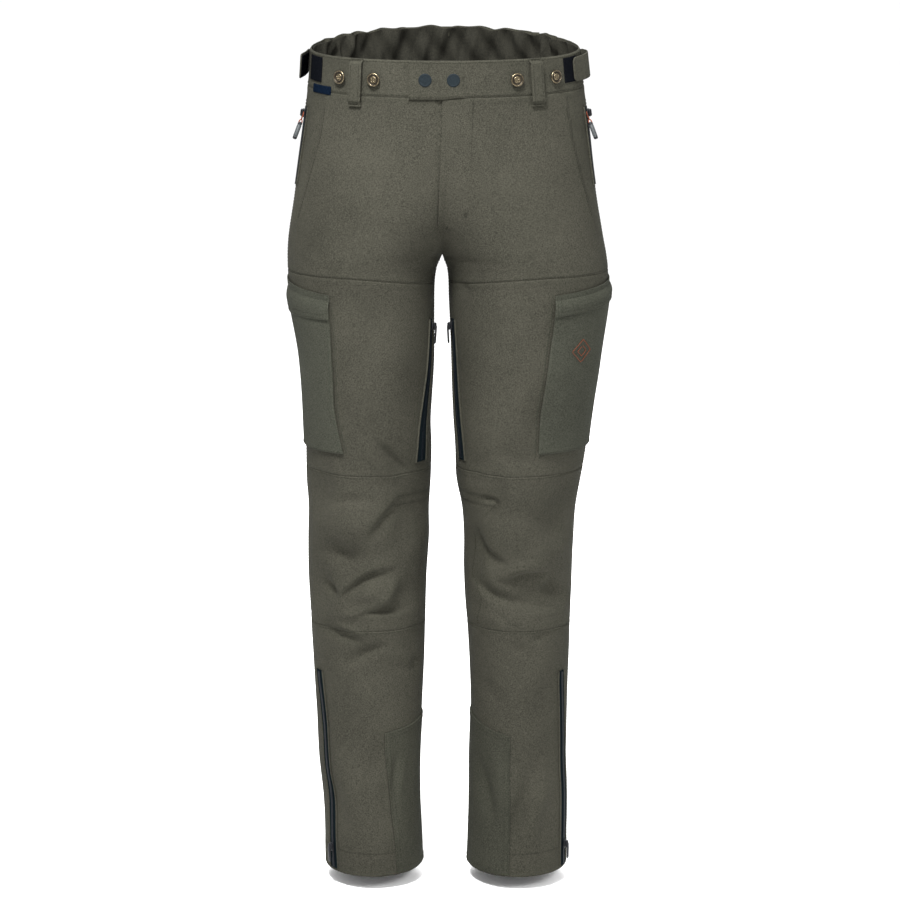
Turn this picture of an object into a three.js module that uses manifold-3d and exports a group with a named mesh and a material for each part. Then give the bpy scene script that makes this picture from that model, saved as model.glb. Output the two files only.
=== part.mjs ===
// A pair of forestry / outdoor work trousers, built flat-panel by flat-panel the way they are sewn.
// Millimetres. +Z is up, the front faces -Y, +X is the wearer's left. The origin is the middle of the
// waist opening, level with the top of the waistband at the side seams.
//
// The garment's surface is one formula. At a height z the cloth runs round two mirrored ellipses, one for
// each leg. Above the crotch they overlap and are cut at the middle, so they merge into the hips and
// then into one waist oval. An angle t goes round a leg: 0 inseam, 90 front, 180 side seam, 270 back.
import * as THREE from 'three';
import { mergeVertices } from 'three/addons/utils/BufferGeometryUtils.js';
import Module from 'manifold-3d';

// ---- driving dimensions -------------------------------------------------------------------------
const CROTCH_Z = -265;             // level of the crotch point
const HEM_Z = -1092;               // bottom of both legs
const BAND_HEIGHT = 46;            // waistband
const FRONT_DIP = 10;              // the waist is cut lower in front
const BACK_RISE = 20;              // and higher at the back
const GROIN_TOP_Z = -182;          // the soft zone that bends at the hip
const YOKE_Z = -293;               // seam across the thigh
const KNEE_TOP_Z = -543;
const KNEE_BOTTOM_Z = -753;
const CLOTH = 2;                   // drawn thickness of lined shell fabric
const GAP = 0.3;                   // between neighbours that touch
const LAID_ON = 1.1;               // a patch's back lies this far outside the cloth it is sewn to
const PATCH = 1.6;                 // drawn thickness of a patch

// Outline of the garment: level, half width at the side seam, depth to the front, depth to the back.
const SHAPE = [
  { z: 20, outer: 169, front: 112, back: 112 },
  { z: -60, outer: 175, front: 112, back: 114 },
  { z: -180, outer: 191, front: 112, back: 130 },
  { z: -290, outer: 203, front: 105, back: 120 },
  { z: -400, outer: 190, front: 98, back: 102 },
  { z: -520, outer: 183, front: 88, back: 88 },
  { z: -660, outer: 175, front: 80, back: 77 },
  { z: -850, outer: 168, front: 71, back: 75 },
  { z: HEM_Z, outer: 162, front: 70, back: 70 },
];
// Half of the space between the legs, below the crotch.
const LEG_GAP = [
  { z: CROTCH_Z, half: 0 }, { z: -320, half: 10 }, { z: -520, half: 16 },
  { z: -660, half: 25 }, { z: -850, half: 32 }, { z: HEM_Z, half: 31 },
];
const MERGE_TOP_Z = -60;           // above this level the two ellipses are one waist oval

// ---- the surface --------------------------------------------------------------------------------
const rad = THREE.MathUtils.degToRad;
const lerp = THREE.MathUtils.lerp;

function along(rows, key, z) {
  // A smooth curve through the rows: cubic, with slopes from the neighbours.
  if (z >= rows[0].z) return rows[0][key];
  const last = rows.length - 1;
  if (z <= rows[last].z) return rows[last][key];
  let i = 0;
  while (z < rows[i + 1].z) i += 1;
  const slope = (k) => {
    const a = rows[Math.max(k - 1, 0)];
    const b = rows[Math.min(k + 1, last)];
    return (b[key] - a[key]) / (b.z - a.z);
  };
  const span = rows[i + 1].z - rows[i].z;
  const u = (z - rows[i].z) / span;
  const rise = u * u * (3 - 2 * u);
  return lerp(rows[i][key], rows[i + 1][key], rise)
    + span * (slope(i) * u * (1 - u) * (1 - u) - slope(i + 1) * u * u * (1 - u));
}

function section(z) {
  const outer = along(SHAPE, 'outer', z);
  const front = along(SHAPE, 'front', z);
  const back = along(SHAPE, 'back', z);
  if (z < CROTCH_Z) {
    const half = along(LEG_GAP, 'half', z);
    return { cx: (outer + half) / 2, rx: (outer - half) / 2, front, back };
  }
  const merge = THREE.MathUtils.clamp((MERGE_TOP_Z - z) / (MERGE_TOP_Z - CROTCH_Z), 0, 1) ** 2;
  const rx = outer / (1 + merge);
  return { cx: merge * rx, rx, front, back };
}

function firstAngle(z) {
  // Where the cloth starts at the middle seam or the inseam, in degrees, leaving half a gap.
  const s = section(z);
  const cut = (s.cx - GAP / 2) / s.rx;
  const slit = THREE.MathUtils.radToDeg(GAP / s.front);
  return cut < 1 ? Math.max(THREE.MathUtils.radToDeg(Math.acos(cut)), slit) : slit;
}

function rawPoint(side, t, z) {
  const s = section(z);
  const depth = Math.sin(rad(t)) > 0 ? s.front : s.back;
  return new THREE.Vector3(side * (s.cx - s.rx * Math.cos(rad(t))), -depth * Math.sin(rad(t)), z);
}

function outward(side, t, z) {
  const dt = rawPoint(side, t + 0.5, z).sub(rawPoint(side, t - 0.5, z));
  const dz = rawPoint(side, t, z + 1).sub(rawPoint(side, t, z - 1));
  return dt.cross(dz).multiplyScalar(side).normalize();
}

function onCloth(side, t, z, lift = 0) {
  return rawPoint(side, t, z).addScaledVector(outward(side, t, z), lift);
}

function onWaist(turn, z, lift = 0) {
  // turn: degrees round the waist oval, 0 at the front, +90 at the wearer's left side, 180 at the back.
  return onCloth(turn < 0 ? -1 : 1, 90 + Math.abs(turn), z, lift);
}

function bandTop(turn) {
  const c = -Math.cos(rad(turn));
  return c * (FRONT_DIP + BACK_RISE) / 2 + c * c * (BACK_RISE - FRONT_DIP) / 2;
}
const bandBottom = (turn) => bandTop(turn) - BAND_HEIGHT;
const bandMiddle = (turn) => bandTop(turn) - BAND_HEIGHT / 2;

// ---- building blocks ----------------------------------------------------------------------------
const root = new THREE.Group();

const FINISH = {
  shell: { color: 0x6b6a5c, roughness: 0.95 },
  panel: { color: 0x62625a, roughness: 0.95 },
  lining: { color: 0x3a3a34, roughness: 0.95 },
  tape: { color: 0x1b1d24, roughness: 0.8 },
  metal: { color: 0x5a6468, roughness: 0.35, metalness: 0.8 },
  brass: { color: 0xa88a4c, roughness: 0.35, metalness: 0.9 },
  plastic: { color: 0x2a2c2e, roughness: 0.5 },
  cord: { color: 0xd9642a, roughness: 0.8 },
};

function addPart(name, geometry, finish) {
  const mesh = new THREE.Mesh(geometry, new THREE.MeshStandardMaterial(FINISH[finish]));
  mesh.name = name;
  root.add(mesh);
  return mesh;
}

function closedSheet(at, across, down, lower, upper) {
  // at(u, v, lift) gives the place; u runs across and v down. Two skins joined by a rim.
  const positions = [];
  for (const lift of [upper, lower]) {
    for (let j = 0; j <= down; j += 1) {
      for (let i = 0; i <= across; i += 1) positions.push(...at(i / across, j / down, lift).toArray());
    }
  }
  const wide = across + 1;
  const skin = wide * (down + 1);
  const index = [];
  const quad = (a, b, c, d) => index.push(a, b, c, a, c, d);
  for (let j = 0; j < down; j += 1) {
    for (let i = 0; i < across; i += 1) {
      const a = j * wide + i;
      quad(a, a + wide, a + wide + 1, a + 1);
      quad(skin + a, skin + a + 1, skin + a + wide + 1, skin + a + wide);
    }
  }
  const rim = (a, b) => quad(a, b, b + skin, a + skin);
  for (let i = 0; i < across; i += 1) {
    rim(i, i + 1);
    rim(down * wide + i + 1, down * wide + i);
  }
  for (let j = 0; j < down; j += 1) {
    rim((j + 1) * wide, j * wide);
    rim(j * wide + across, (j + 1) * wide + across);
  }
  const geometry = new THREE.BufferGeometry();
  geometry.setAttribute('position', new THREE.Float32BufferAttribute(positions, 3));
  geometry.setIndex(index);
  return facingOut(geometry);
}

function volumeOf(geometry) {
  const p = geometry.getAttribute('position');
  const corner = [0, 1, 2].map(() => new THREE.Vector3());
  let total = 0;
  for (let i = 0; i < geometry.index.count; i += 3) {
    corner.forEach((v, k) => v.fromBufferAttribute(p, geometry.index.getX(i + k)));
    total += corner[0].dot(corner[1].clone().cross(corner[2])) / 6;
  }
  return total;
}

function facingOut(geometry) {
  if (volumeOf(geometry) < 0) geometry.setIndex([...geometry.index.array].reverse());
  return geometry;
}

function panel(name, side, span, levels, finish, options = {}) {
  // span(z): first and last angle; levels(t): top and bottom of the cloth at that angle.
  const { across = 10, down = 4, lower = -CLOTH, upper = 0 } = options;
  const at = (u, v, lift) => {
    const middle = levels(135);
    const guess = span(lerp(middle[0], middle[1], v));
    const [top, bottom] = levels(lerp(guess[0], guess[1], u));
    const z = lerp(top, bottom, v);
    const [first, last] = span(z);
    return onCloth(side, lerp(first, last, u), z, lift);
  };
  return addPart(name, closedSheet(at, across, down, lower, upper), finish);
}

function bandPiece(name, from, to, finish, { across = 10, lower = -CLOTH, upper = 0, inset = 0 } = {}) {
  const at = (u, v, lift) => {
    const turn = lerp(from, to, u);
    return onWaist(turn, lerp(bandTop(turn) - inset, bandBottom(turn) + inset, v), lift);
  };
  return addPart(name, closedSheet(at, across, 2, lower, upper), finish);
}

function zipTape(name, side, { top, bottom, width }, down) {
  // A tape sewn over the slit, from top to bottom.
  const at = (u, v, height) => {
    const z = lerp(top.z, bottom.z, v);
    const t = lerp(top.t, bottom.t, v) + THREE.MathUtils.radToDeg((u - 0.5) * width / section(z).rx);
    return onCloth(side, t, z, height);
  };
  return addPart(name, closedSheet(at, 2, down, LAID_ON, LAID_ON + 1.2), 'tape');
}

function standing(side, t, z, lift, along3) {
  // A placing matrix on the cloth: local Z points out, local Y points along the given direction.
  const out = outward(side, t, z);
  const y = along3.clone().addScaledVector(out, -along3.dot(out)).normalize();
  const x = y.clone().cross(out);
  return new THREE.Matrix4().makeBasis(x, y, out).setPosition(onCloth(side, t, z, lift));
}

const wasm = await Module();
wasm.setup();

function solidOf(geometry) {
  const bare = geometry.clone();
  for (const extra of ['normal', 'uv']) bare.deleteAttribute(extra);
  const welded = mergeVertices(bare, 1e-4);
  const vertProperties = new Float32Array(welded.getAttribute('position').array);
  const triVerts = new Uint32Array(welded.index.array);
  return new wasm.Manifold(new wasm.Mesh({ numProp: 3, vertProperties, triVerts }));
}

function joined(...parts) {
  const mesh = parts.map(solidOf).reduce((a, b) => a.add(b)).getMesh();
  const geometry = new THREE.BufferGeometry();
  geometry.setAttribute('position', new THREE.Float32BufferAttribute(mesh.vertProperties, mesh.numProp));
  geometry.setIndex([...mesh.triVerts]);
  return geometry;
}

function roundedPlate(width, height, thickness, corner, bevel = 0.4) {
  // Lies on local Z = 0 and stands up to its thickness.
  const w = width / 2 - bevel;
  const h = height / 2 - bevel;
  const r = Math.max(corner - bevel, 0.2);
  const shape = new THREE.Shape();
  shape.moveTo(w, -h + r);
  shape.absarc(w - r, h - r, r, 0, Math.PI / 2);
  shape.absarc(-w + r, h - r, r, Math.PI / 2, Math.PI);
  shape.absarc(-w + r, -h + r, r, Math.PI, Math.PI * 1.5);
  shape.absarc(w - r, -h + r, r, Math.PI * 1.5, Math.PI * 2);
  const solid = new THREE.ExtrudeGeometry(shape, {
    depth: thickness - 2 * bevel, bevelThickness: bevel, bevelSize: bevel, bevelSegments: 1, curveSegments: 2,
  });
  return solid.translate(0, 0, bevel);
}

function turned(profile, sides) {
  // A round piece standing on local Z = 0; profile is [radius, height] from the axis to the axis.
  const points = profile.map(([r, h]) => new THREE.Vector2(r, h));
  return new THREE.LatheGeometry(points, sides).rotateX(Math.PI / 2);
}

// ---- the trousers' own panels -------------------------------------------------------------------
const SIDES = [{ side: -1, hand: 'right' }, { side: 1, hand: 'left' }];
const SEAM_T = 180;
const frontSpan = (z) => [firstAngle(z), SEAM_T - 0.12];
const backSpan = (z) => [SEAM_T + 0.12, 360 - firstAngle(z)];
const wholeSpan = (z) => [firstAngle(z), 360 - firstAngle(z)];
const hipTop = (t) => bandBottom(t - 90) - GAP;

function legPanels({ side, hand }) {
  panel(`hip_front_${hand}`, side, frontSpan, (t) => [hipTop(Math.min(t, 180)), GROIN_TOP_Z + GAP], 'shell');
  panel(`seat_${hand}`, side, backSpan, (t) => [hipTop(Math.max(t, 180)), GROIN_TOP_Z + GAP], 'shell');
  const groinLevels = () => [GROIN_TOP_Z, YOKE_Z + GAP];
  const kneeLevels = () => [KNEE_TOP_Z, KNEE_BOTTOM_Z + GAP];
  panel(`groin_${hand}`, side, wholeSpan, groinLevels, 'shell', { across: 20, down: 5 });
  panel(`thigh_front_${hand}`, side, frontSpan, () => [YOKE_Z, KNEE_TOP_Z + GAP], 'shell');
  panel(`thigh_back_${hand}`, side, backSpan, () => [YOKE_Z, KNEE_TOP_Z + GAP], 'shell');
  panel(`knee_${hand}`, side, wholeSpan, kneeLevels, 'panel', { across: 20, down: 4 });
  panel(`shin_front_${hand}`, side, frontSpan, () => [KNEE_BOTTOM_Z, HEM_Z], 'shell');
  panel(`shin_back_${hand}`, side, backSpan, () => [KNEE_BOTTOM_Z, HEM_Z], 'shell');
}

// Reinforcement on the inside of each ankle, from the inseam to the front of the shin.
const KICK_FRONT_T = 64;
const KICK_BACK_T = -52;
const KICK_TOP_Z = -880;

function kickPatch({ side, hand }) {
  const span = () => [KICK_BACK_T, KICK_FRONT_T];
  const levels = (t) => [KICK_TOP_Z - 8 + 8 * Math.cos(rad(t)), HEM_Z + 1];
  panel(`kick_patch_${hand}`, side, span, levels, 'panel',
    { across: 10, down: 5, lower: LAID_ON, upper: LAID_ON + PATCH });
}

// ---- cargo pockets ------------------------------------------------------------------------------
const CARGO = {
  frontT: { right: 115, left: 106 }, backT: 194, topZ: -318, bottomZ: -512, lift: 1.9, bellow: 3,
};
const CARGO_FLAP = { overhang: 2, topZ: -298, bottomZ: -334, lift: 7.2 };

function cargoPocket({ side, hand }) {
  const at = (u, v, lift) => {
    const t = lerp(CARGO.frontT[hand], CARGO.backT, u);
    const z = lerp(CARGO.topZ, CARGO.bottomZ, v);
    const swell = CARGO.bellow * Math.sin(Math.PI * lerp(0.08, 0.92, u))
      * Math.sin(Math.PI * lerp(0.25, 0.95, v));
    return onCloth(side, t, z, lift + (lift > CARGO.lift ? swell : 0));
  };
  addPart(`cargo_pocket_${hand}`, closedSheet(at, 8, 6, CARGO.lift, CARGO.lift + PATCH), 'panel');
  const flapAt = (u, v, lift) => {
    const t = lerp(CARGO.frontT[hand] - CARGO_FLAP.overhang, CARGO.backT + CARGO_FLAP.overhang, u);
    const stand = lerp(LAID_ON, CARGO_FLAP.lift, Math.min(1, v * 1.8));
    return onCloth(side, t, lerp(CARGO_FLAP.topZ, CARGO_FLAP.bottomZ, v), stand + lift);
  };
  addPart(`cargo_flap_${hand}`, closedSheet(flapAt, 8, 4, 0, PATCH), 'panel');
}

// ---- zips ---------------------------------------------------------------------------------------
// Each zip: angle and level of its two ends. The thigh and hem zips sit a little differently on each leg.
const zip = (topT, topZ, bottomT, bottomZ, width) => (
  { top: { t: topT, z: topZ }, bottom: { t: bottomT, z: bottomZ }, width });
const HAND_ZIP = { right: zip(169, -74, 171, -174, 18), left: zip(169, -74, 171, -174, 18) };
const VENT_ZIP = { right: zip(18, -346, 33, -530, 16), left: zip(17, -346, 26, -530, 16) };
const HEM_ZIP = { right: zip(151, -815, 142, -1088, 18), left: zip(147, -815, 155, -1088, 18) };
const TAPE_TOP = LAID_ON + 1.2;
const SLIDER = { width: 9, length: 13, thickness: 4 };

function zipDirection(side, path) {
  return onCloth(side, path.top.t, path.top.z).sub(onCloth(side, path.bottom.t, path.bottom.z)).normalize();
}

function placeSlider(name, side, path, end, step, tabLength = 0) {
  // step: how far from that end of the tape the slider's middle sits.
  const far = end === 'top' ? 'bottom' : 'top';
  const share = step / Math.abs(path.top.z - path.bottom.z);
  const t = lerp(path[end].t, path[far].t, share);
  const z = lerp(path[end].z, path[far].z, share);
  const body = roundedPlate(SLIDER.width, SLIDER.length, SLIDER.thickness, 2.5, 0.8);
  const geometry = tabLength > 0 ? joined(body, pullTab(tabLength)) : body;
  const mesh = addPart(name, geometry, 'metal');
  mesh.applyMatrix4(standing(side, t, z, TAPE_TOP + 1.2, zipDirection(side, path)));
}

function pullTab(length) {
  // A slim tab on the slider's bridge, lying down along local -Y.
  return roundedPlate(5, length, 1.6, 2.2).translate(0, -length / 2 + 2, SLIDER.thickness - 0.5);
}

function zips({ side, hand }) {
  zipTape(`hand_zip_tape_${hand}`, side, HAND_ZIP[hand], 4);
  zipTape(`vent_zip_tape_${hand}`, side, VENT_ZIP[hand], 6);
  zipTape(`hem_zip_tape_${hand}`, side, HEM_ZIP[hand], 7);
  placeSlider(`hand_zip_slider_${hand}`, side, HAND_ZIP[hand], 'top', 8);
  placeSlider(`vent_zip_slider_${hand}`, side, VENT_ZIP[hand], 'top', 9, 24);
  placeSlider(`hem_zip_slider_${hand}`, side, HEM_ZIP[hand], 'bottom', 30, 22);
  handPuller(side, hand);
}

// A cord loop with a moulded grip, hanging from the hand-pocket slider.
const PULLER = { cord: 1.3, grip: 3.5, cordLength: 12, length: 40 };

function handPuller(side, hand) {
  const { cord, grip, cordLength, length } = PULLER;
  const profile = [
    [0, length], [grip * 0.55, length], [grip, length - 4], [grip, cordLength + 3], [cord, cordLength],
    [cord, 0], [0, 0],
  ];
  const geometry = new THREE.LatheGeometry(profile.map(([x, y]) => new THREE.Vector2(x, -y)), 10);
  const mesh = addPart(`hand_zip_puller_${hand}`, geometry, 'cord');
  const { top, bottom } = HAND_ZIP[hand];
  const t = lerp(top.t, bottom.t, 0.16);
  mesh.applyMatrix4(standing(side, t, top.z - 16, TAPE_TOP + 5, zipDirection(side, HAND_ZIP[hand])));
}

// ---- inside pockets -----------------------------------------------------------------------------
function innerBags({ side, hand }) {
  const bag = { across: 6, down: 4, lower: -CLOTH - 4.2, upper: -CLOTH - 1.2 };
  panel(`hand_pocket_bag_${hand}`, side, () => [112, 172], () => [-70, -176], 'lining', bag);
}

// The one back pocket, on the wearer's right: its flap covers the mouth.
const BACK_FLAP = { fromT: 206, toT: 254, topZ: -84, bottomZ: -128 };

function backPocketFlap() {
  const span = () => [BACK_FLAP.fromT, BACK_FLAP.toT];
  panel('back_pocket_flap', -1, span, () => [BACK_FLAP.topZ, BACK_FLAP.bottomZ], 'shell',
    { across: 6, down: 2, lower: LAID_ON, upper: LAID_ON + PATCH });
}

// ---- waistband ----------------------------------------------------------------------------------
const LAP_TURN = 10;               // where the closing tab is sewn into the band, wearer's left of the fly
const TAB_TURN = -15;              // free end of the closing tab, lapped over the right band
const SIDE_TURN = 93;              // side seam of the band
const SNAP_TURNS = [-8.2, 3.4];    // the two snap fasteners
const BUTTON_TURNS = [-48.5, -30.5, 30.5, 51.5];
const LOOP_TURNS = [-40, 41, -138, 180, 138];

function waistband() {
  bandPiece('waistband_front_right', -SIDE_TURN + 0.12, LAP_TURN - 0.5, 'shell', { across: 14 });
  bandPiece('waistband_front_left', LAP_TURN, SIDE_TURN - 0.12, 'shell', { across: 12 });
  const back = (lower, upper, inset) => (u, v, lift) => {
    const turn = lerp(SIDE_TURN + 0.12, 360 - SIDE_TURN - 0.12, u);
    const signed = turn > 180 ? turn - 360 : turn;
    return onWaist(signed, lerp(bandTop(signed) - inset, bandBottom(signed) + inset, v), lift);
  };
  addPart('waistband_back', closedSheet(back(0, 0, 0), 16, 2, -CLOTH, 0), 'shell');
  addPart('waist_elastic', closedSheet(back(0, 0, 4), 16, 1, -CLOTH - 2.6, -CLOTH - 1.1), 'lining');
}

function closure() {
  const at = (u, v, lift) => {
    const turn = lerp(TAB_TURN, LAP_TURN - 0.4, u);
    const rise = lift + LAID_ON;
    return onWaist(turn, lerp(bandTop(turn), bandBottom(turn) - 1, v), rise);
  };
  addPart('closure_tab', closedSheet(at, 6, 2, 0, CLOTH), 'shell');
  const capProfile = [[0, 0], [8.4, 0], [8.4, 0.9], [7.4, 2.0], [0, 2.6]];
  SNAP_TURNS.forEach((turn, i) => {
    const cap = addPart(`snap_cap_${i + 1}`, turned(capProfile, 16), 'metal');
    cap.applyMatrix4(upright(turn, bandMiddle(turn), LAID_ON + CLOTH + 0.4));
  });
}

function upright(turn, z, lift) {
  return standing(turn < 0 ? -1 : 1, 90 + Math.abs(turn), z, lift, new THREE.Vector3(0, 0, 1));
}

function buttons() {
  // Brace buttons on a shank: a foot on the band, a neck and a dished cap with a flat rim on top.
  const profile = [[0, 0], [4, 0], [2.6, 1.4], [2.6, 3], [8.5, 3.4], [8.5, 4.7], [7.6, 5.6], [0, 5.6]];
  BUTTON_TURNS.forEach((turn, i) => {
    const button = addPart(`brace_button_${i + 1}`, turned(profile, 16), 'brass');
    button.applyMatrix4(upright(turn, bandMiddle(turn) - 2, 0.4));
  });
}

function beltLoops() {
  // A strap sewn at both ends that stands off between them, so that a belt fits under it.
  const width = 17;
  const stand = 6.2;
  const thick = 1.8;
  const seat = 0.8;
  const top = BAND_HEIGHT / 2 - 1;
  const bottom = -BAND_HEIGHT / 2 - 12;
  const inner = [[top - thick - 1, seat], [top - thick - 1, stand], [bottom + 6, stand], [bottom + 2, seat]];
  const outer = [
    [bottom, seat], [bottom, 1.8], [bottom + 4.5, stand + thick], [top, stand + thick], [top, seat],
  ];
  const shape = new THREE.Shape([...inner, ...outer].map(([height, out]) => new THREE.Vector2(height, out)));
  const swap = new THREE.Matrix4().makeBasis(
    new THREE.Vector3(0, 1, 0), new THREE.Vector3(0, 0, 1), new THREE.Vector3(1, 0, 0));
  LOOP_TURNS.forEach((turn, i) => {
    const solid = new THREE.ExtrudeGeometry(shape, { depth: width, bevelEnabled: false });
    solid.translate(0, 0, -width / 2).applyMatrix4(swap);
    addPart(`belt_loop_${i + 1}`, solid, 'shell').applyMatrix4(upright(turn, bandMiddle(turn), 0));
  });
}

// ---- side adjusters and fly ---------------------------------------------------------------------
const ADJUSTER = { from: 67, to: 92, insetTop: 6, insetBottom: 8 };

function adjusters() {
  const strip = (hand, spec, lift) => (u, v, height) => {
    const turn = hand * lerp(spec.from, spec.to, u);
    const high = bandTop(turn) - spec.insetTop;
    const low = bandBottom(turn) + spec.insetBottom;
    return onWaist(turn, lerp(high, low, v), lift + height);
  };
  for (const { side, hand } of SIDES) {
    const sheet = closedSheet(strip(side, ADJUSTER, LAID_ON + 2.4), 5, 1, 0, 1.6);
    addPart(`adjuster_tab_${hand}`, sheet, 'shell');
  }
}

const FLY = { top: -60, bottom: -160, shieldHalf: 17, shieldDepth: 10.4 };

function fly() {
  const front = (half, lift, shift) => (u, v, height) => {
    const z = lerp(FLY.top, FLY.bottom, v);
    const x = shift + lerp(-half, half, u);
    const s = section(z);
    const side = x < 0 ? -1 : 1;
    const cosine = (s.cx - Math.abs(x)) / s.rx;
    const t = THREE.MathUtils.radToDeg(Math.acos(cosine));
    const p = onCloth(side, t, z);
    return p.setY(p.y + lift - height);
  };
  addPart('fly_zip_tape', closedSheet(front(13, CLOTH + 2.4, 0), 4, 6, 0, 1.2), 'tape');
  const shieldAt = front(FLY.shieldHalf, CLOTH + FLY.shieldDepth, -3);
  addPart('fly_shield', closedSheet(shieldAt, 4, 6, 0, 1.6), 'lining');
  const z = FLY.top - 9;
  const y = onCloth(1, 90, z).y + CLOTH + 2.8;
  const slider = roundedPlate(8, 12, 3, 2, 0.6).rotateX(-Math.PI / 2);
  const tab = roundedPlate(4.5, 20, 1.2, 2).rotateX(-Math.PI / 2).translate(0, 2.4, -8);
  addPart('fly_slider', joined(slider, tab), 'metal').position.set(0, y, z);
}

// ---- assembly -----------------------------------------------------------------------------------
waistband();
closure();
buttons();
beltLoops();
adjusters();
backPocketFlap();
fly();
for (const leg of SIDES) {
  legPanels(leg);
  kickPatch(leg);
  cargoPocket(leg);
  zips(leg);
  innerBags(leg);
}

export default root;
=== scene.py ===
"""Outdoor work trousers: every panel, pocket, zip and stitch line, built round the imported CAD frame.

The cloth is one formula, the same as the CAD part's: at a height z it runs round two mirrored ellipses, one
for each leg, that merge into the hips and the waist. Angle t goes round a leg in degrees: 0 inseam, 90 front,
180 side seam, 270 back. Garment sizes are in millimetres and become metres when a mesh is made.
"""
import math

import bpy
import numpy as np
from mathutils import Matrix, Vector


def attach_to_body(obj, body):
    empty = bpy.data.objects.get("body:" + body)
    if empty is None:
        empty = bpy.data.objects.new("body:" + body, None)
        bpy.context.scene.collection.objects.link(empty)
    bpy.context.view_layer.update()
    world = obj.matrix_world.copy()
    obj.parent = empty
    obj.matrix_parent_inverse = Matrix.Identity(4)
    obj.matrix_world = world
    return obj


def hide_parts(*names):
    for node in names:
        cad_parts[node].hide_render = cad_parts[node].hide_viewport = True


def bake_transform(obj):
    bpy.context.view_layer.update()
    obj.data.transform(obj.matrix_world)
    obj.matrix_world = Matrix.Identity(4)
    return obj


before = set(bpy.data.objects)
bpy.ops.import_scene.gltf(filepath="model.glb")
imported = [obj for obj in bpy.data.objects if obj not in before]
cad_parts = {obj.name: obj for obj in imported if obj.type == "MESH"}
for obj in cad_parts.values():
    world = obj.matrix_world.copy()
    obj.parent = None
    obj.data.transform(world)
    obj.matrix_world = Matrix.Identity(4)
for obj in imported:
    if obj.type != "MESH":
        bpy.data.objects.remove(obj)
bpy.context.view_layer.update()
MM = 0.001
SIDES = ((-1, "right"), (1, "left"))
HAND = dict(SIDES)

# ---- driving dimensions, as in the CAD part ------------------------------------------------------
CROTCH_Z = -265
HEM_Z = -1092
BAND_HEIGHT = 46
FRONT_DIP = 10
BACK_RISE = 20
YOKE_Z = -293
KNEE_TOP_Z = -543
KNEE_BOTTOM_Z = -753
MERGE_TOP_Z = -60
LEVELS = np.array([20, -60, -180, -290, -400, -520, -660, -850, HEM_Z], float)
OUTER = np.array([169, 175, 191, 203, 190, 183, 175, 168, 162], float)
FRONT = np.array([112, 112, 112, 105, 98, 88, 80, 71, 70], float)
BACK = np.array([112, 114, 130, 120, 102, 88, 77, 75, 70], float)
GAP_LEVELS = np.array([CROTCH_Z, -320, -520, -660, -850, HEM_Z], float)
GAP_HALF = np.array([0, 10, 16, 25, 32, 31], float)
CLOTH = 1.5                        # thickness of the two-layer cloth
TAB_HINGE_X = 29.4                 # where the closing tab bends
ON_TOP = 1.0                       # back of a patch above the cloth
BAND_SAMPLE_Z = -20.0              # level at which the waist's length is measured

# Hung cloth against the plain formula, per leg: how far out the side seam stands, and the inseam's move
# towards the wearer's left.
DRAPE_LEVELS = np.array([0, -80, -160, -240, -266, -282, -320, -400, -480, -520, -560, -600, -640, -680,
                         -760, -880, -940, -1000, HEM_Z], float)
DRAPE_OUT = {-1: np.array([2, 2, 2, 3, 2, 1, -1, -4, -2, 0, 2, 2, 5, 7, 7, 5, 4, 0, 0], float),
             1: np.array([1, 4, 2, 4, 6, 7, 8, 8, 3, 1, -3, -7, -7, -7, -6, -5, -4, -1, 1], float)}
DRAPE_IN = {-1: np.array([0, 0, 0, -2, -4, -8, -5, -2, -5, -3, -2, -2, 1, 1, 2, 0, -3, -4, -1], float),
            1: np.array([0, 0, 0, -2, -4, -1, -5, -5, -4, -3, -3, 2, 1, -1, 0, 2, 1, 1, -1], float)}


# ---- the surface ---------------------------------------------------------------------------------
def along(z, levels, values):
    """A smooth cubic through the rows, level at its two ends."""
    z = np.clip(z, levels[-1], levels[0])
    k = np.clip(np.searchsorted(-levels, -z, side="right") - 1, 0, len(levels) - 2)
    low = np.maximum(np.arange(len(levels)) - 1, 0)
    high = np.minimum(np.arange(len(levels)) + 1, len(levels) - 1)
    slope = (values[high] - values[low]) / (levels[high] - levels[low])
    span = levels[k + 1] - levels[k]
    u = (z - levels[k]) / span
    rise = u * u * (3 - 2 * u)
    bow = slope[k] * u * (1 - u) ** 2 - slope[k + 1] * u * u * (1 - u)
    return values[k] + (values[k + 1] - values[k]) * rise + span * bow


def section(z):
    """Centre and half width of each leg's ellipse, and its depth to the front and the back."""
    outer = along(z, LEVELS, OUTER)
    half = along(z, GAP_LEVELS, GAP_HALF)
    merge = np.clip((MERGE_TOP_Z - z) / (MERGE_TOP_Z - CROTCH_Z), 0, 1) ** 2
    joined = outer / (1 + merge)
    below = z < CROTCH_Z
    cx = np.where(below, (outer + half) / 2, merge * joined)
    rx = np.where(below, (outer - half) / 2, joined)
    return cx, rx, along(z, LEVELS, FRONT), along(z, LEVELS, BACK)


def first_angle(z, gap=0.1):
    """The angle of the middle seam or the inseam, in degrees."""
    cx, rx, front, _ = section(z)
    cut = np.clip((cx - gap) / rx, -1, 1)
    return np.maximum(np.degrees(np.arccos(cut)), np.degrees(gap / front))


def base(side, t, z):
    cx, rx, front, back = section(z)
    a = np.radians(t)
    depth = np.where(np.sin(a) > 0, front, back)
    return np.stack([side * (cx - rx * np.cos(a)), -depth * np.sin(a), z], -1)


def outward(side, t, z):
    dt = base(side, t + 0.5, z) - base(side, t - 0.5, z)
    dz = base(side, t, z + 1) - base(side, t, z - 1)
    n = np.cross(dt, dz) * np.asarray(side)[..., None]
    return n / np.linalg.norm(n, axis=-1, keepdims=True)


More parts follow.
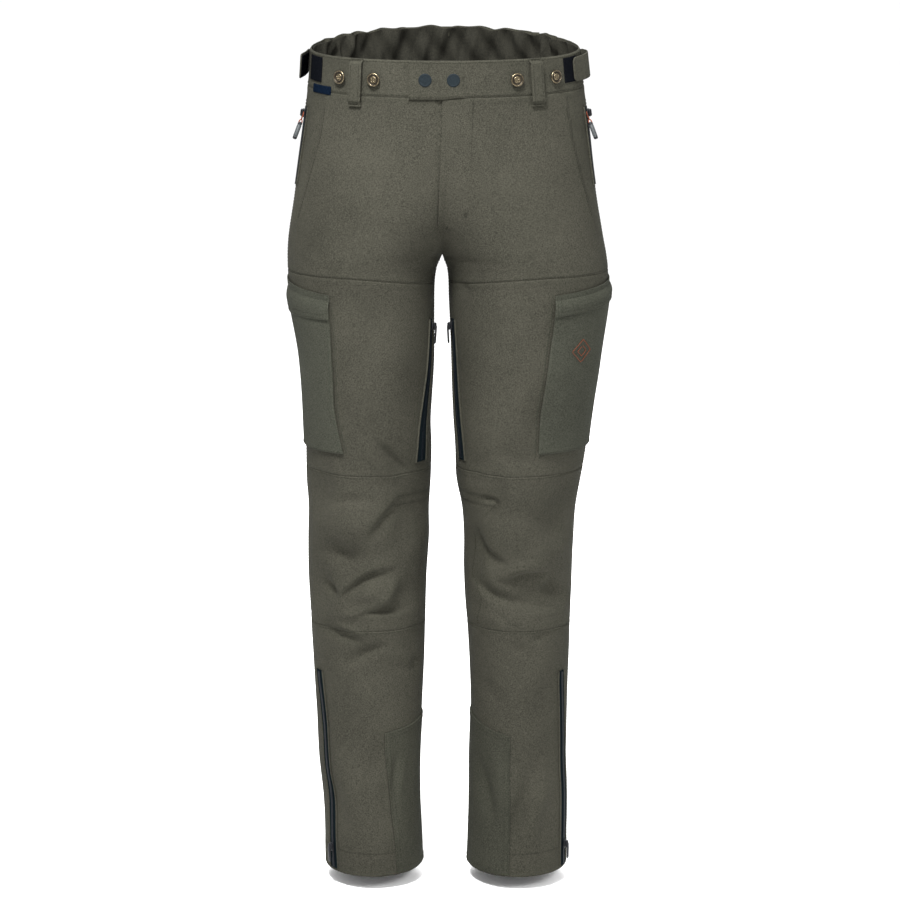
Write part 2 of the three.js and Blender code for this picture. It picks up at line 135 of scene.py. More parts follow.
def on_cloth(side, t, z, lift=0.0):
    """A place on the finished cloth, folds included, and the direction out of it."""
    t, z, lift = np.broadcast_arrays(np.asarray(t, float), np.asarray(z, float), np.asarray(lift, float))
    side = np.broadcast_to(np.asarray(side, float), t.shape)
    p = base(side, t, z)
    n = outward(side, t, z)
    q = p + n * (lift + relief(side, p, n))[..., None]
    at_middle_seam = 1 - smoothstep(0, 8, round_from_inseam(t) - first_angle(z))
    hold = smoothstep(CROTCH_Z - 10, CROTCH_Z, z) * at_middle_seam
    q[..., 0] += hold * (p[..., 0] - q[..., 0]) + drape(side, t, z)
    return q, n


def on_waist(turn, z, lift=0.0):
    """turn: degrees round the waist, 0 at the front, +90 at the wearer's left, 180 at the back."""
    turn = np.where(np.asarray(turn) > 180, np.asarray(turn) - 360, turn)
    side = np.where(turn < 0, -1.0, 1.0)
    return on_cloth(side, 90 + np.abs(turn), z, lift)


def band_top(turn):
    c = -np.cos(np.radians(turn))
    return c * (FRONT_DIP + BACK_RISE) / 2 + c * c * (BACK_RISE - FRONT_DIP) / 2


def band_bottom(turn):
    return band_top(turn) - BAND_HEIGHT


# ---- relief: how the hung cloth differs from the plain formula -----------------------------------
LATTICE = np.random.RandomState(11).uniform(-1, 1, (24, 24, 24))


def smooth_noise(p, size):
    """Soft random hills about `size` millimetres across, from -1 to 1."""
    q = p / np.asarray(size, float)
    cell = np.floor(q).astype(int)
    f = q - cell
    f = f * f * (3 - 2 * f)
    total = 0.0
    for corner in np.ndindex(2, 2, 2):
        weight = np.prod(np.where(np.array(corner), f, 1 - f), axis=-1)
        i = (cell + corner) % LATTICE.shape[0]
        total = total + weight * LATTICE[i[..., 0], i[..., 1], i[..., 2]]
    return total


def smoothstep(low, high, x):
    u = np.clip((x - low) / (high - low), 0, 1)
    return u * u * (3 - 2 * u)


def through(points, steps=8):
    """A Catmull-Rom line through a few points."""
    p = np.array([points[0], *points, points[-1]], float)
    out = []
    for k in range(1, len(p) - 2):
        for u in np.linspace(0, 1, steps, endpoint=False):
            out.append(0.5 * (2 * p[k] + (p[k + 1] - p[k - 1]) * u
                              + (2 * p[k - 1] - 5 * p[k] + 4 * p[k + 1] - p[k + 2]) * u ** 2
                              + (3 * p[k] - p[k - 1] - 3 * p[k + 1] + p[k + 2]) * u ** 3))
    return np.array([*out, p[-2]])


# Folds: wearer's side, face (-1 front, +1 back), points (x, z), depth, width above, width below the line.
FOLDS = (
    # right thigh and knee
    (-1, -1, ((-96, -486), (-56, -530), (-33, -552)), -6, 5, 10),
    (-1, -1, ((-112, -486), (-76, -530), (-52, -556)), 4.5, 10, 12),
    (-1, -1, ((-152, -590), (-130, -578), (-107, -576), (-88, -585)), -4, 9, 7),
    (-1, -1, ((-46, -572), (-61, -584), (-88, -612), (-100, -634)), -7.5, 5, 12),
    (-1, -1, ((-164, -641), (-136, -648), (-106, -668)), -6, 14, 12),
    (-1, -1, ((-158, -684), (-146, -700), (-138, -718)), -9, 6, 9),
    (-1, -1, ((-139, -722), (-125, -702), (-108, -686), (-88, -675), (-52, -671)), -10, 4, 11),
    (-1, -1, ((-56, -676), (-77, -710), (-112, -727), (-158, -737)), 6.5, 7, 7),
    (-1, -1, ((-34, -729), (-80, -726), (-102, -728), (-124, -736)), -7.5, 11, 3.5),
    (-1, -1, ((-170, -750), (-143, -758), (-120, -763), (-98, -778)), -5.5, 9, 6),
    (-1, -1, ((-150, -742), (-122, -750), (-96, -764)), 3.5, 6, 6),
    (-1, -1, ((-66, -774), (-95, -780), (-118, -792)), -6, 9, 4),
    (-1, -1, ((-38, -788), (-42, -806), (-38, -826)), -3, 5, 5),
    # left knee
    (1, -1, ((32, -586), (55, -576), (68, -579), (64, -590), (47, -612)), -4.5, 4, 4),
    (1, -1, ((34, -614), (53, -644), (90, -666)), -7, 5, 14),
    (1, -1, ((60, -690), (87, -683), (109, -676), (152, -675)), -9, 2.6, 16),
    (1, -1, ((66, -682), (98, -668), (150, -664)), 4.5, 12, 6),
    (1, -1, ((30, -680), (56, -705), (84, -714), (124, -725)), -10, 12, 3.6),
    (1, -1, ((80, -711), (110, -717), (166, -729)), -9, 18, 4),
    (1, -1, ((140, -674), (150, -698), (168, -724)), -7, 5, 10),
    (1, -1, ((98, -586), (134, -612), (164, -650)), -6, 14, 12),
    (1, -1, ((66, -724), (82, -741), (86, -752)), -4, 6, 6),
    (1, -1, ((112, -768), (144, -762)), -4.5, 8, 4),
    (1, -1, ((88, -764), (100, -776), (108, -792)), -4, 6, 8),
    (1, -1, ((60, -508), (44, -536), (36, -566)), -4, 9, 9),
    (1, -1, ((84, -520), (88, -560), (96, -596)), 4.5, 9, 12),
    # lower legs, and the straight runs of the two hem zips
    (-1, -1, ((-149, -948), (-140, -1000), (-122, -1050)), -3.0, 12, 12),
    (-1, -1, ((-83, -894), (-77, -970), (-76, -1032)), -2.4, 6, 6),
    (-1, -1, ((-50, -898), (-58, -946), (-66, -1000)), -3.0, 8, 8),
    (-1, -1, ((-134, -802), (-115, -793), (-84, -779)), -4.5, 11, 5),
    (-1, -1, ((-78, -794), (-59, -806), (-45, -822)), -3.0, 8, 8),
    (-1, -1, ((-161, -800), (-156, -915), (-149, -1070)), -3.4, 9, 9),
    (1, -1, ((135, -892), (118, -942), (94, -1044)), -4.0, 14, 14),
    (1, -1, ((150, -950), (124, -1000), (108, -1046)), 2.6, 12, 12),
    (1, -1, ((37, -915), (50, -960), (57, -1024)), -3.4, 10, 10),
    (1, -1, ((56, -782), (44, -820), (48, -866)), -2.4, 10, 10),
    (1, -1, ((158, -810), (157, -920), (156, -1060)), 1.8, 9, 9),
    # thighs
    (1, -1, ((112, -330), (92, -400), (58, -470)), -2.6, 20, 14),
    (1, -1, ((128, -380), (100, -450), (76, -520)), 2.8, 16, 16),
    (1, -1, ((16, -284), (24, -300), (40, -312)), -3.0, 6, 8),
    (1, -1, ((52, -500), (90, -520), (128, -512)), -2.2, 12, 10),
    (-1, -1, ((-128, -400), (-110, -450), (-92, -486)), 2.0, 16, 16),
    (-1, -1, ((-60, -330), (-70, -400), (-56, -470)), 2.0, 22, 22),
    # shins
    (-1, -1, ((-60, -896), (-64, -940), (-66, -1000), (-64, -1060)), -3.6, 5, 6),
    (-1, -1, ((-48, -900), (-56, -950), (-64, -1010)), 3.0, 7, 6),
    (-1, -1, ((-82, -892), (-88, -930), (-94, -970)), -3.2, 9, 8),
    (-1, -1, ((-140, -880), (-128, -960), (-112, -1050)), 3.0, 18, 18),
    (-1, -1, ((-116, -800), (-104, -860), (-100, -930)), 2.6, 18, 18),
    (1, -1, ((112, -950), (98, -1000), (88, -1056)), -4.4, 8, 9),
    (1, -1, ((136, -940), (118, -1000), (104, -1066)), 4.6, 12, 12),
    (1, -1, ((44, -930), (58, -990), (66, -1050)), -3.2, 7, 9),
    (1, -1, ((64, -900), (76, -960), (80, -1030)), 2.8, 10, 10),
    (1, -1, ((46, -800), (60, -840), (96, -862)), -2.6, 12, 12),
    (1, -1, ((150, -800), (132, -850), (120, -900)), -3.0, 12, 14),
    # backs of both knees and the seat
    (-1, 1, ((-160, -640), (-104, -655), (-50, -636)), -10, 8, 5),
    (-1, 1, ((-150, -672), (-100, -684), (-56, -668)), -9.2, 9, 5),
    (-1, 1, ((-140, -610), (-96, -618), (-60, -604)), -6, 9, 9),
    (-1, 1, ((-60, -330), (-100, -372), (-140, -392)), -4.8, 12, 12),
    (1, 1, ((160, -634), (108, -650), (52, -640)), -10, 8, 5),
    (1, 1, ((146, -668), (104, -680), (60, -664)), -9.2, 9, 5),
    (1, 1, ((132, -606), (96, -614), (56, -600)), -6, 9, 9),
    (1, 1, ((56, -334), (96, -370), (138, -388)), -4.8, 12, 12),
)
# Rounded hills and hollows: side, face, centre (x, z), half size (x, z), height.
SWELLS = (
    (-1, -1, (-114, -606), (40, 26), 10.0),
    (-1, -1, (-157, -700), (14, 34), -8.0),
    (-1, -1, (-94, -700), (28, 13), 7.0),
    (-1, -1, (-52, -612), (18, 30), -7.5),
    (-1, -1, (-50, -706), (18, 20), -7.0),
    (-1, -1, (-161, -566), (18, 34), -8.0),
    (-1, -1, (-128, -650), (30, 14), -4.0),
    (1, -1, (78, -624), (32, 28), 10.0),
    (1, -1, (124, -699), (34, 13), -8.5),
    (1, -1, (128, -648), (30, 16), 5.0),
    (1, -1, (38, -650), (13, 40), -6.5),
    (1, -1, (154, -590), (20, 40), -7.0),
    (1, -1, (103, -560), (24, 26), 3.0),
    (1, -1, (72, -738), (36, 10), 3.5),
    (-1, -1, (-104, -420), (60, 120), 2.5),
    (1, -1, (104, -420), (60, 120), 2.5),
)


def stroke(p, line, depth, above, below):
    """The displacement made by one fold at points p, (x, z)."""
    line = through(line)
    a, b = line[:-1], line[1:]
    step = b - a
    length = np.linalg.norm(step, axis=1)
    start = np.concatenate([[0], np.cumsum(length)[:-1]])
    rel = p[:, None, :] - a[None]
    u = np.clip((rel * step).sum(-1) / length ** 2, 0, 1)
    away = rel - u[..., None] * step
    dist = np.linalg.norm(away, axis=-1)
    best = dist.argmin(1)
    rows = np.arange(len(p))
    d = dist[rows, best]
    up = away[rows, best, 1] > 0
    reach = start[best] + u[rows, best] * length[best]
    total = length.sum()
    taper = max(20.0, 0.42 * total)
    fade = smoothstep(0, taper, reach) * smoothstep(0, taper, total - reach)
    width = np.where(up, above, below)
    return depth * fade * np.exp(-(d / width) ** 2)


def fold_relief(side, p, n):
    """All folds and swells at base points p with normals n."""
    shape = p.shape[:-1]
    flat, normal, sides = p.reshape(-1, 3), n.reshape(-1, 3), side.reshape(-1)
    total = np.zeros(len(flat))
    for s, face, line, depth, above, below in FOLDS:
        xs, zs = [q[0] for q in line], [q[1] for q in line]
        margin = 3 * max(above, below)
        near = ((sides == s) & (flat[:, 1] * face > 0)
                & (flat[:, 0] > min(xs) - margin) & (flat[:, 0] < max(xs) + margin)
                & (flat[:, 2] > min(zs) - margin) & (flat[:, 2] < max(zs) + margin))
        if near.any():
            facing = smoothstep(0.0, 0.35, normal[near, 1] * face)
            total[near] += facing * stroke(flat[near][:, [0, 2]], line, depth, above, below)
    for s, face, centre, half, height in SWELLS:
        far = (((flat[:, 0] - centre[0]) / half[0]) ** 2 + ((flat[:, 2] - centre[1]) / half[1]) ** 2)
        facing = smoothstep(0.0, 0.5, normal[:, 1] * face)
        total += np.where(sides == s, height * facing * np.exp(-far), 0)
    return total.reshape(shape)


def gather(turn, z):
    """Ruffles of the elasticated back of the waistband."""
    a = np.radians(turn)
    return (np.sin(a * 47 + 1.3 * np.sin(z / 14)) + 0.7 * np.sin(a * 29 + 2.0 + z / 30)
            + 0.5 * np.sin(a * 71 - z / 18))


def round_from_inseam(t):
    """Degrees from the inseam, whichever way round the leg."""
    return np.abs((t + 180) % 360 - 180)


def drape(side, t, z):
    """How far the hung leg stands to the wearer's left of the formula."""
    first = first_angle(z)
    share = (1 - np.cos(np.pi * np.clip((round_from_inseam(t) - first) / (180 - first), 0, 1))) / 2
    shift = [hand * share * along(z, DRAPE_LEVELS, DRAPE_OUT[hand])
             + (1 - share) * along(z, DRAPE_LEVELS, DRAPE_IN[hand]) for hand in (-1, 1)]
    return np.where(side < 0, shift[0], shift[1])


def relief(side, p, n):
    """Everything that lifts the cloth off the formula, in millimetres along the normal."""
    z = p[..., 2]
    knee = np.exp(-((z + 670) / 120) ** 2)
    rough = 0.35 + 1.0 * knee + 0.35 * smoothstep(-780, -1050, z)
    away_from_band = smoothstep(-50, -110, z)
    soft = smooth_noise(p + side[..., None] * 300, (46, 46, 70)) * 1.1
    soft = soft + smooth_noise(p + side[..., None] * 500, (19, 19, 26)) * 0.35
    return fold_relief(side, p, n) + rough * away_from_band * soft


# ---- meshes --------------------------------------------------------------------------------------
def spaced(length, pitch, crisp=(True, True)):
    """Shares 0..1 along a length, with rows close together near a sewn edge."""
    near = [0, 0.6, 1.3, 2.2, 3.4, 5.0, 6.2, 7.0, 8.4]
    head = near if crisp[0] else [0]
    tail = [length - d for d in reversed(near)] if crisp[1] else [length]
    count = max(int(round((tail[0] - head[-1]) / pitch)), 1)
    middle = np.linspace(head[-1], tail[0], count + 1)[1:-1]
    return np.array([*head, *middle, *tail]) / length


def mesh_object(name, points, faces, material, uv=None, smooth=True):
    """points in millimetres."""
    mesh = bpy.data.meshes.new(name)
    mesh.from_pydata((np.asarray(points, float) * MM).tolist(), [], [list(map(int, f)) for f in faces])
    if uv is not None:
        layer = mesh.uv_layers.new(name="cloth")
        index = np.zeros(len(mesh.loops), int)
        mesh.loops.foreach_get("vertex_index", index)
        layer.data.foreach_set("uv", (uv[index] * MM).ravel())
    mesh.materials.append(material)
    mesh.update()
    obj = bpy.data.objects.new(name, mesh)
    bpy.context.scene.collection.objects.link(obj)
    if smooth:
        mesh.shade_smooth()
        mesh.set_sharp_from_angle(angle=math.radians(50))
    return obj


def plain_mesh(name, points, faces, material, smooth=True):
    """A mesh whose material doesn't follow the cloth."""
    return mesh_object(name, points, faces, material, np.zeros((len(points), 2)), smooth)


def grid_faces(down, across, flip=False):
    j, i = np.meshgrid(np.arange(down - 1), np.arange(across - 1), indexing="ij")
    a = (j * across + i).ravel()
    quads = np.stack([a, a + across, a + across + 1, a + 1], 1)
    return quads[:, ::-1] if flip else quads


def closed_sheet(name, at, us, vs, lower, upper, material, flip=False):
    """Two skins, at(U, V, lift) in millimetres, joined round their edge. U runs across, V down."""
    U, V = np.meshgrid(us, vs)
    top, under = at(U, V, upper), at(U, V, lower)
    down, across = U.shape
    count = down * across
    rim = np.concatenate([
        np.arange(across), np.arange(1, down) * across + across - 1,
        (down - 1) * across + np.arange(across - 2, -1, -1), np.arange(down - 2, 0, -1) * across])
    following = np.roll(rim, -1)
    band = np.stack([rim, following, following + count, rim + count], 1)
    faces = np.concatenate([grid_faces(down, across), grid_faces(down, across, True) + count, band])
    if flip:
        faces = faces[:, ::-1]
    points = np.concatenate([top.reshape(-1, 3), under.reshape(-1, 3)])
    arc = np.concatenate([np.zeros((down, 1)), np.linalg.norm(np.diff(top, axis=1), axis=2).cumsum(1)], 1)
    middle = arc[down // 2, across // 2]
    coords = np.stack([arc - arc[:, across // 2:across // 2 + 1] + middle, top[..., 2]], -1).reshape(-1, 2)
    obj = mesh_object(name, points, faces, material, np.concatenate([coords, coords]))
    obj["flat_width"] = float(arc[:, -1].max() * MM)
    obj["flat_length"] = float(np.linalg.norm(np.diff(top, axis=0), axis=2).sum(0).max() * MM)
    cell = np.linalg.norm(np.cross(top[1:, :-1] - top[:-1, :-1], top[:-1, 1:] - top[:-1, :-1]), axis=2)
    obj["flat_area"] = float(cell.sum() * MM * MM)
    return obj


def from_edge(U, V, width, height):
    """Distance to the nearest edge of a sheet, in millimetres."""
    return np.minimum(np.minimum(U, 1 - U) * width, np.minimum(V, 1 - V) * height)


def seam_profile(distance):
    """The cloth beside a lapped seam: a groove at the edge, then a slightly raised allowance."""
    groove = -0.55 * np.exp(-(distance / 0.8) ** 2)
    allowance = 0.3 * smoothstep(0.4, 1.6, distance) * (1 - smoothstep(5.0, 8.4, distance))
    return groove + allowance


def hem_profile(distance):
    return -0.5 * np.exp(-(distance / 0.9) ** 2)


def dashes(paths, length=3.0, gap=1.1, radius=0.3, sides=5):
    """Stitches along paths, each (points, normals) in millimetres: short spindles, half sunk."""
    points, faces = [], []
    ring = np.linspace(0, 2 * math.pi, sides, endpoint=False)
    for line, normal in paths:
        step = np.linalg.norm(np.diff(line, axis=0), axis=1)
        reach = np.concatenate([[0], np.cumsum(step)])
        for start in np.arange(gap / 2, reach[-1] - length, length + gap):
            spot = [np.array([np.interp(start + length * k, reach, line[:, c]) for c in range(3)])
                    for k in (0, 0.15, 0.85, 1)]
            out = np.array([np.interp(start + length / 2, reach, normal[:, c]) for c in range(3)])
            way = spot[3] - spot[0]
            way = way / (np.linalg.norm(way) + 1e-9)
            across = np.cross(way, out)
            first = len(points)
            points.append(spot[0] - out * radius * 0.6)
            for q in spot[1:3]:
                for angle in ring:
                    points.append(q + radius * (math.cos(angle) * across + math.sin(angle) * out))
            points.append(spot[3] - out * radius * 0.6)
            last = first + 1 + 2 * sides
            for k in range(sides):
                a, b = first + 1 + k, first + 1 + (k + 1) % sides
                faces.append((first, b, a))
                faces.append((a, b, b + sides, a + sides))
                faces.append((a + sides, b + sides, last))
    return points, faces


# ---- riding --------------------------------------------------------------------------------------
HIP_CREASE_Z = -0.258              # metres, like the rest of this section
KNEE_BEND_X = 0.1
KNEE_BEND_Z = (-0.555, -0.745)


def hip_zone(side):
    """Where cloth turns from the waist to the thigh: the crease from the crotch up to the side."""
    start = Vector((0, 0, HIP_CREASE_Z))
    return start, start + 0.1 * Vector((side * 0.5, 0, -0.866))


def attach(obj, zone, side=1):
    if zone == "hip":
        start, end = hip_zone(side)
        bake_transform(obj)
        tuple(start)
        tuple(end)
    elif zone == "knee":
        start, end = ((side * KNEE_BEND_X, 0, z) for z in KNEE_BEND_Z)
        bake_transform(obj)
        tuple(start)
        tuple(end)
    elif zone == "tab":
        start = (TAB_HINGE_X * MM + 0.006, -0.11, -0.034)
        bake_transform(obj)
        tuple(start)
    else:
        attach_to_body(obj, zone)
    return obj


def cloth_piece(obj, zone, side, nodes, slot="shell_fabric"):
    """Attach a sheet to its zone and hide the CAD nodes it stands for; zone is None when it is baked in place
    already; slot is not used.
    """
    if zone:
        attach(obj, zone, side)
    if nodes:
        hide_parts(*nodes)
    width, length = obj["flat_width"], obj["flat_length"]
    area = min(obj["flat_area"], width * length)
    return obj


# ---- materials -----------------------------------------------------------------------------------
def srgb(r, g, b):
    """Linear colour from 0..255 display values."""
    def linear(c):
        c = c / 255
        return c / 12.92 if c <= 0.04045 else ((c + 0.055) / 1.055) ** 2.4
    return (linear(r), linear(g), linear(b), 1.0)


class Nodes:
    """A small helper for building a material's nodes."""

    def __init__(self, name, **sockets):
        self.material = bpy.data.materials.new(name)
        self.material.use_nodes = True
        self.tree = self.material.node_tree
        self.shader = self.tree.nodes["Principled BSDF"]
        for key, value in sockets.items():
            self.shader.inputs[key.replace("_", " ")].default_value = value

    def add(self, kind, **values):
        node = self.tree.nodes.new(kind)
        for key, value in values.items():
            if hasattr(node, key):
                setattr(node, key, value)
            else:
                node.inputs[key.replace("_", " ")].default_value = value
        return node

    def link(self, a, b):
        self.tree.links.new(a, b)

    def math(self, operation, a, b):
        node = self.add("ShaderNodeMath", operation=operation)
        for k, v in enumerate((a, b)):
            if isinstance(v, (int, float)):
                node.inputs[k].default_value = v
            else:
                self.link(v, node.inputs[k])
        return node.outputs[0]

    def ramp(self, factor, low, high, start=0.35, end=0.65):
        node = self.add("ShaderNodeValToRGB")
        node.color_ramp.elements[0].color = low
        node.color_ramp.elements[0].position = start
        node.color_ramp.elements[1].color = high
        node.color_ramp.elements[1].position = end
        self.link(factor, node.inputs[0])
        return node.outputs[0]

    def bump(self, height, distance, strength=1.0):
        node = self.add("ShaderNodeBump", Strength=strength, Distance=distance)
        self.link(height, node.inputs["Height"])
        self.link(node.outputs[0], self.shader.inputs["Normal"])


def woven(name, low, high, thread=0.00075, depth=0.00022, gloss=0.05):
    """A plain melange weave: threads both ways, mottled yarn, faint large-scale fading."""
    n = Nodes(name, Roughness=0.95, Specular_IOR_Level=gloss)
    uv = n.add("ShaderNodeUVMap", uv_map="cloth")
    place = n.add("ShaderNodeTexCoord")
    turn = 2 * math.pi / thread
    split = n.add("ShaderNodeSeparateXYZ")
    n.link(uv.outputs[0], split.inputs[0])
    warp = n.math("SINE", n.math("MULTIPLY", split.outputs[0], turn), 0)
    weft = n.math("SINE", n.math("MULTIPLY", split.outputs[1], turn), 0)
    weave = n.math("MULTIPLY", warp, weft)
    slub = n.add("ShaderNodeTexNoise", Scale=900.0, Detail=3.0, Roughness=0.7)
    n.link(place.outputs["Object"], slub.inputs["Vector"])
    fade = n.add("ShaderNodeTexNoise", Scale=9.0, Detail=3.0, Roughness=0.6)
    n.link(place.outputs["Object"], fade.inputs["Vector"])
    mix = n.math("ADD", n.math("MULTIPLY", slub.outputs[0], 0.84), n.math("MULTIPLY", fade.outputs[0], 0.16))
    n.link(n.ramp(mix, low, high, 0.4, 0.6), n.shader.inputs["Base Color"])
    height = n.math("ADD", n.math("MULTIPLY", weave, 0.5), n.math("MULTIPLY", slub.outputs[0], 0.9))
    n.bump(height, depth, 0.55)
    return n.material


def coated(name, low, high, roughness, metallic=0.0, scale=500.0, depth=0.0001, **sockets):
    """Metal or moulded plastic with a fine, uneven surface."""
    n = Nodes(name, Roughness=roughness, Metallic=metallic, **sockets)
    place = n.add("ShaderNodeTexCoord")
    grain = n.add("ShaderNodeTexNoise", Scale=scale, Detail=4.0)
    n.link(place.outputs["Object"], grain.inputs["Vector"])
    n.link(n.ramp(grain.outputs[0], low, high, 0.3, 0.7), n.shader.inputs["Base Color"])
    n.bump(grain.outputs[0], depth, 0.4)
    return n.material


SHELL = woven("shell twill", srgb(29, 29, 24), srgb(53, 52, 45))
PANEL = woven("panel cloth", srgb(27, 28, 23), srgb(49, 49, 42), thread=0.0009)
POCKET = woven("pocket cloth", srgb(29, 30, 25), srgb(51, 52, 45), thread=0.0009)
# A darker copy of the shell cloth: on the facing inside the back of the band this darkness is painted shade;
# the pocket bags and fly shield use it too.
LINING_AND_PAINTED_SHADE = woven("lining", srgb(18, 18, 15), srgb(35, 34, 29), thread=0.0006)
HOOK = woven("hook tape", srgb(4, 5, 7), srgb(12, 13, 16), thread=0.0012, depth=0.0005, gloss=0.0)
TAPE = woven("zip tape", srgb(8, 13, 15), srgb(14, 20, 23), thread=0.0006, gloss=0.0)
LABEL = woven("label satin", srgb(5, 11, 20), srgb(9, 17, 29), thread=0.0004, gloss=0.0)
THREAD = coated("thread", srgb(23, 23, 19), srgb(35, 35, 29), 0.9, Specular_IOR_Level=0.05)
CORD = woven("orange cord", srgb(84, 42, 28), srgb(104, 54, 38), thread=0.0008)
ORANGE = coated("orange thread", srgb(76, 37, 23), srgb(94, 46, 29), 0.9, Specular_IOR_Level=0.05)
BRASS = coated("antique brass", srgb(56, 49, 37), srgb(112, 102, 83), 0.3, 1.0, scale=700.0)
BRASS_DARK = coated("brass recess", srgb(24, 20, 15), srgb(40, 34, 25), 0.5, 0.8)
SNAP = coated("snap lacquer", srgb(15, 20, 23), srgb(20, 26, 29), 0.6, Specular_IOR_Level=0.05)
BLACK = coated("black die casting", srgb(12, 13, 15), srgb(20, 21, 24), 0.5, Specular_IOR_Level=0.15)
GRIP = coated("moulded grip", srgb(34, 37, 38), srgb(48, 51, 52), 0.5, Specular_IOR_Level=0.2)
TEETH = coated("zip teeth", srgb(8, 12, 16), srgb(14, 19, 24), 0.6, Specular_IOR_Level=0.1)


# ---- panels --------------------------------------------------------------------------------------
PITCH = 3.4
FINE = 2.4
STITCHES = {}                      # (zone, side): paths that wait to be sewn


def sew(zone, side, t, z, lift=0.45):
    """Keep a stitch line on the cloth for the mesh of its zone."""
    points, normals = on_cloth(side, t, z, lift)
    STITCHES.setdefault((zone, side), []).append((points, normals))


def sew_points(zone, side, points, normals):
    STITCHES.setdefault((zone, side), []).append((points, normals))


def lerp(a, b, u):
    return a + (b - a) * u


def width_at(side, low, high, z):
    """Length of cloth round the leg between two angles, in millimetres."""
    t = np.linspace(low, high, 60)
    p = base(side, t, np.full_like(t, z))
    return float(np.linalg.norm(np.diff(p, axis=0), axis=1).sum())


def turn_by(side, t, z, distance):
    """The angle `distance` millimetres further round the leg."""
    speed = np.linalg.norm(base(side, t + 0.5, z) - base(side, t - 0.5, z), axis=-1)
    return t + distance / speed


def panel(name, side, angles, levels, zone, nodes, material=None, edges="tblr", slot="shell_fabric",
          extra=None, pitch=None, lower=-CLOTH, upper=0.0):
    """A cloth panel. angles(z) and levels(t) are its limits.

    edges holds t, b, l or r for a sewn edge at its top, bottom, left or right, a capital for a covered edge,
    and nothing for a hem.
    """
    z_top, z_bottom = (float(np.mean(v)) for v in levels(np.array([135.0])))
    middle = np.array([(z_top + z_bottom) / 2])
    low, high = (float(np.mean(v)) for v in angles(middle))
    width = width_at(side, low, high, middle[0])
    height = z_top - z_bottom
    pitch = pitch or PITCH
    us, vs = spaced(width, pitch), spaced(height, pitch)

    def at(U, V, lift):
        guess_low, guess_high = angles(lerp(z_top, z_bottom, V))
        top, bottom = levels(lerp(guess_low, guess_high, U))
        z = lerp(top, bottom, V)
        first, last = angles(z)
        t = lerp(first, last, U)
        if lift == lower:
            return on_cloth(side, t, z, lift)[0]
        distance = {"l": U * width, "r": (1 - U) * width, "t": V * height, "b": (1 - V) * height}
        raised = sum(seam_profile(distance[e]) if e in edges else hem_profile(distance[e])
                     for e in "tblr" if e in edges or e.upper() not in edges)
        if extra is not None:
            raised = raised + extra(side, t, z)
        return on_cloth(side, t, z, lift + raised)[0]

    obj = closed_sheet(name, at, us, vs, lower, upper, material or SHELL, flip=side > 0)
    return cloth_piece(obj, zone, side, nodes, slot)


def front_angles(z):
    return first_angle(z), np.full_like(z, 180.0)


def back_angles(z):
    return np.full_like(z, 180.0), 360 - first_angle(z)


def level(top, bottom):
    return lambda t: (np.full_like(t, top), np.full_like(t, bottom))


FLY_HALF = 27.0
FLY_END_Z = -206.0
FLY_RISE = 1.3
POCKET_MOUTH = ((150, -64), (158, -110), (172, -160), (190, -226))   # edge of the hand pocket: |x|, z


def front_x(t, z):
    cx, rx, _, _ = section(z)
    return cx - rx * np.cos(np.radians(t))


def mouth_x(z):
    return np.interp(-z, [-q[1] for q in POCKET_MOUTH], [q[0] for q in POCKET_MOUTH])


def angle_at(x, z, depth_side=1):
    """The angle where the front of the leg stands |x| from the middle."""
    cx, rx, _, _ = section(z)
    return np.degrees(np.arccos(np.clip((cx - x) / rx, -1, 1)))


def front_extra(side, t, z):
    """The doubled cloth of the fly on the wearer's left, and the raised lip of the hand pocket."""
    x = front_x(t, z)
    below = smoothstep(FLY_END_Z - 30, FLY_END_Z - 8, z)
    fly = FLY_RISE * below * (1 - smoothstep(FLY_HALF + 4, FLY_HALF + 9, x)) if side > 0 \
        else -1.6 * below * (1 - smoothstep(7, 13, x))
    edge = mouth_x(z)
    inside = smoothstep(-240, -222, z) * (z < -58)
    lip = inside * (1.5 * np.exp(-np.clip(edge - x, 0, None) / 9.0) * (x < edge)
                    - 0.7 * np.exp(-np.clip(x - edge, 0, None) / 3.0) * (x >= edge))
    return fly + lip


def fly_lap():
    """The left front reaches a little over the right one, more so lower down."""
    def corner(U, V):
        z = lerp(-57.5, FLY_END_Z - 34, V)
        reach = lerp(3.2, 7.5, smoothstep(0, 0.8, V)) * (1 - smoothstep(0.86, 1, V)) + 0.4
        return angle_at(lerp(reach, -1.5, U), z), z

    obj = patch_free("fly_lap", -1, corner, (7, 180), SHELL, lambda U, V: np.zeros_like(U), lift=-0.2,
                     thick=FLY_RISE + 0.15, rows=(), pitch=1.2)
    attach(obj, "hip", -1)


def yoke(t):
    """The yoke seam drops a little towards the inseam."""
    return YOKE_Z + 9 - 16 * (1 - smoothstep(0, 110, t))


HEM_STITCH_Z = -1060.0
# The gusset seam beside the inseam of the knee: depth below the band, |x|.
KNEE_GUSSET = {-1: ((628, 678, 720, 756), (31, 33, 35, 38)), 1: ((628, 684, 712, 754), (33, 34, 50, 43))}
KNEE_TUCKS = ((-574, 30, 64), (-586, 28, 66))          # z, from angle, to angle on the inner front


def knee_extra(side, t, z):
    """Darts beside the inseam, and the side seam of the knee's outer panel."""
    tuck = 0.0
    for level_z, first, last in KNEE_TUCKS:
        along_it = smoothstep(first - 26, first - 10, t) * (1 - smoothstep(last - 8, last, t))
        tuck = tuck - 1.3 * along_it * np.exp(-((z - level_z) / 1.3) ** 2)
    distance = np.abs(t - 138.0) * 1.35
    return tuck - 0.8 * np.exp(-(distance / 1.1) ** 2) * (t < 180)


def hem_extra(side, t, z):
    """The hem is turned up and stitched."""
    return 0.55 * smoothstep(HEM_STITCH_Z - 0.5, HEM_STITCH_Z - 2, z)


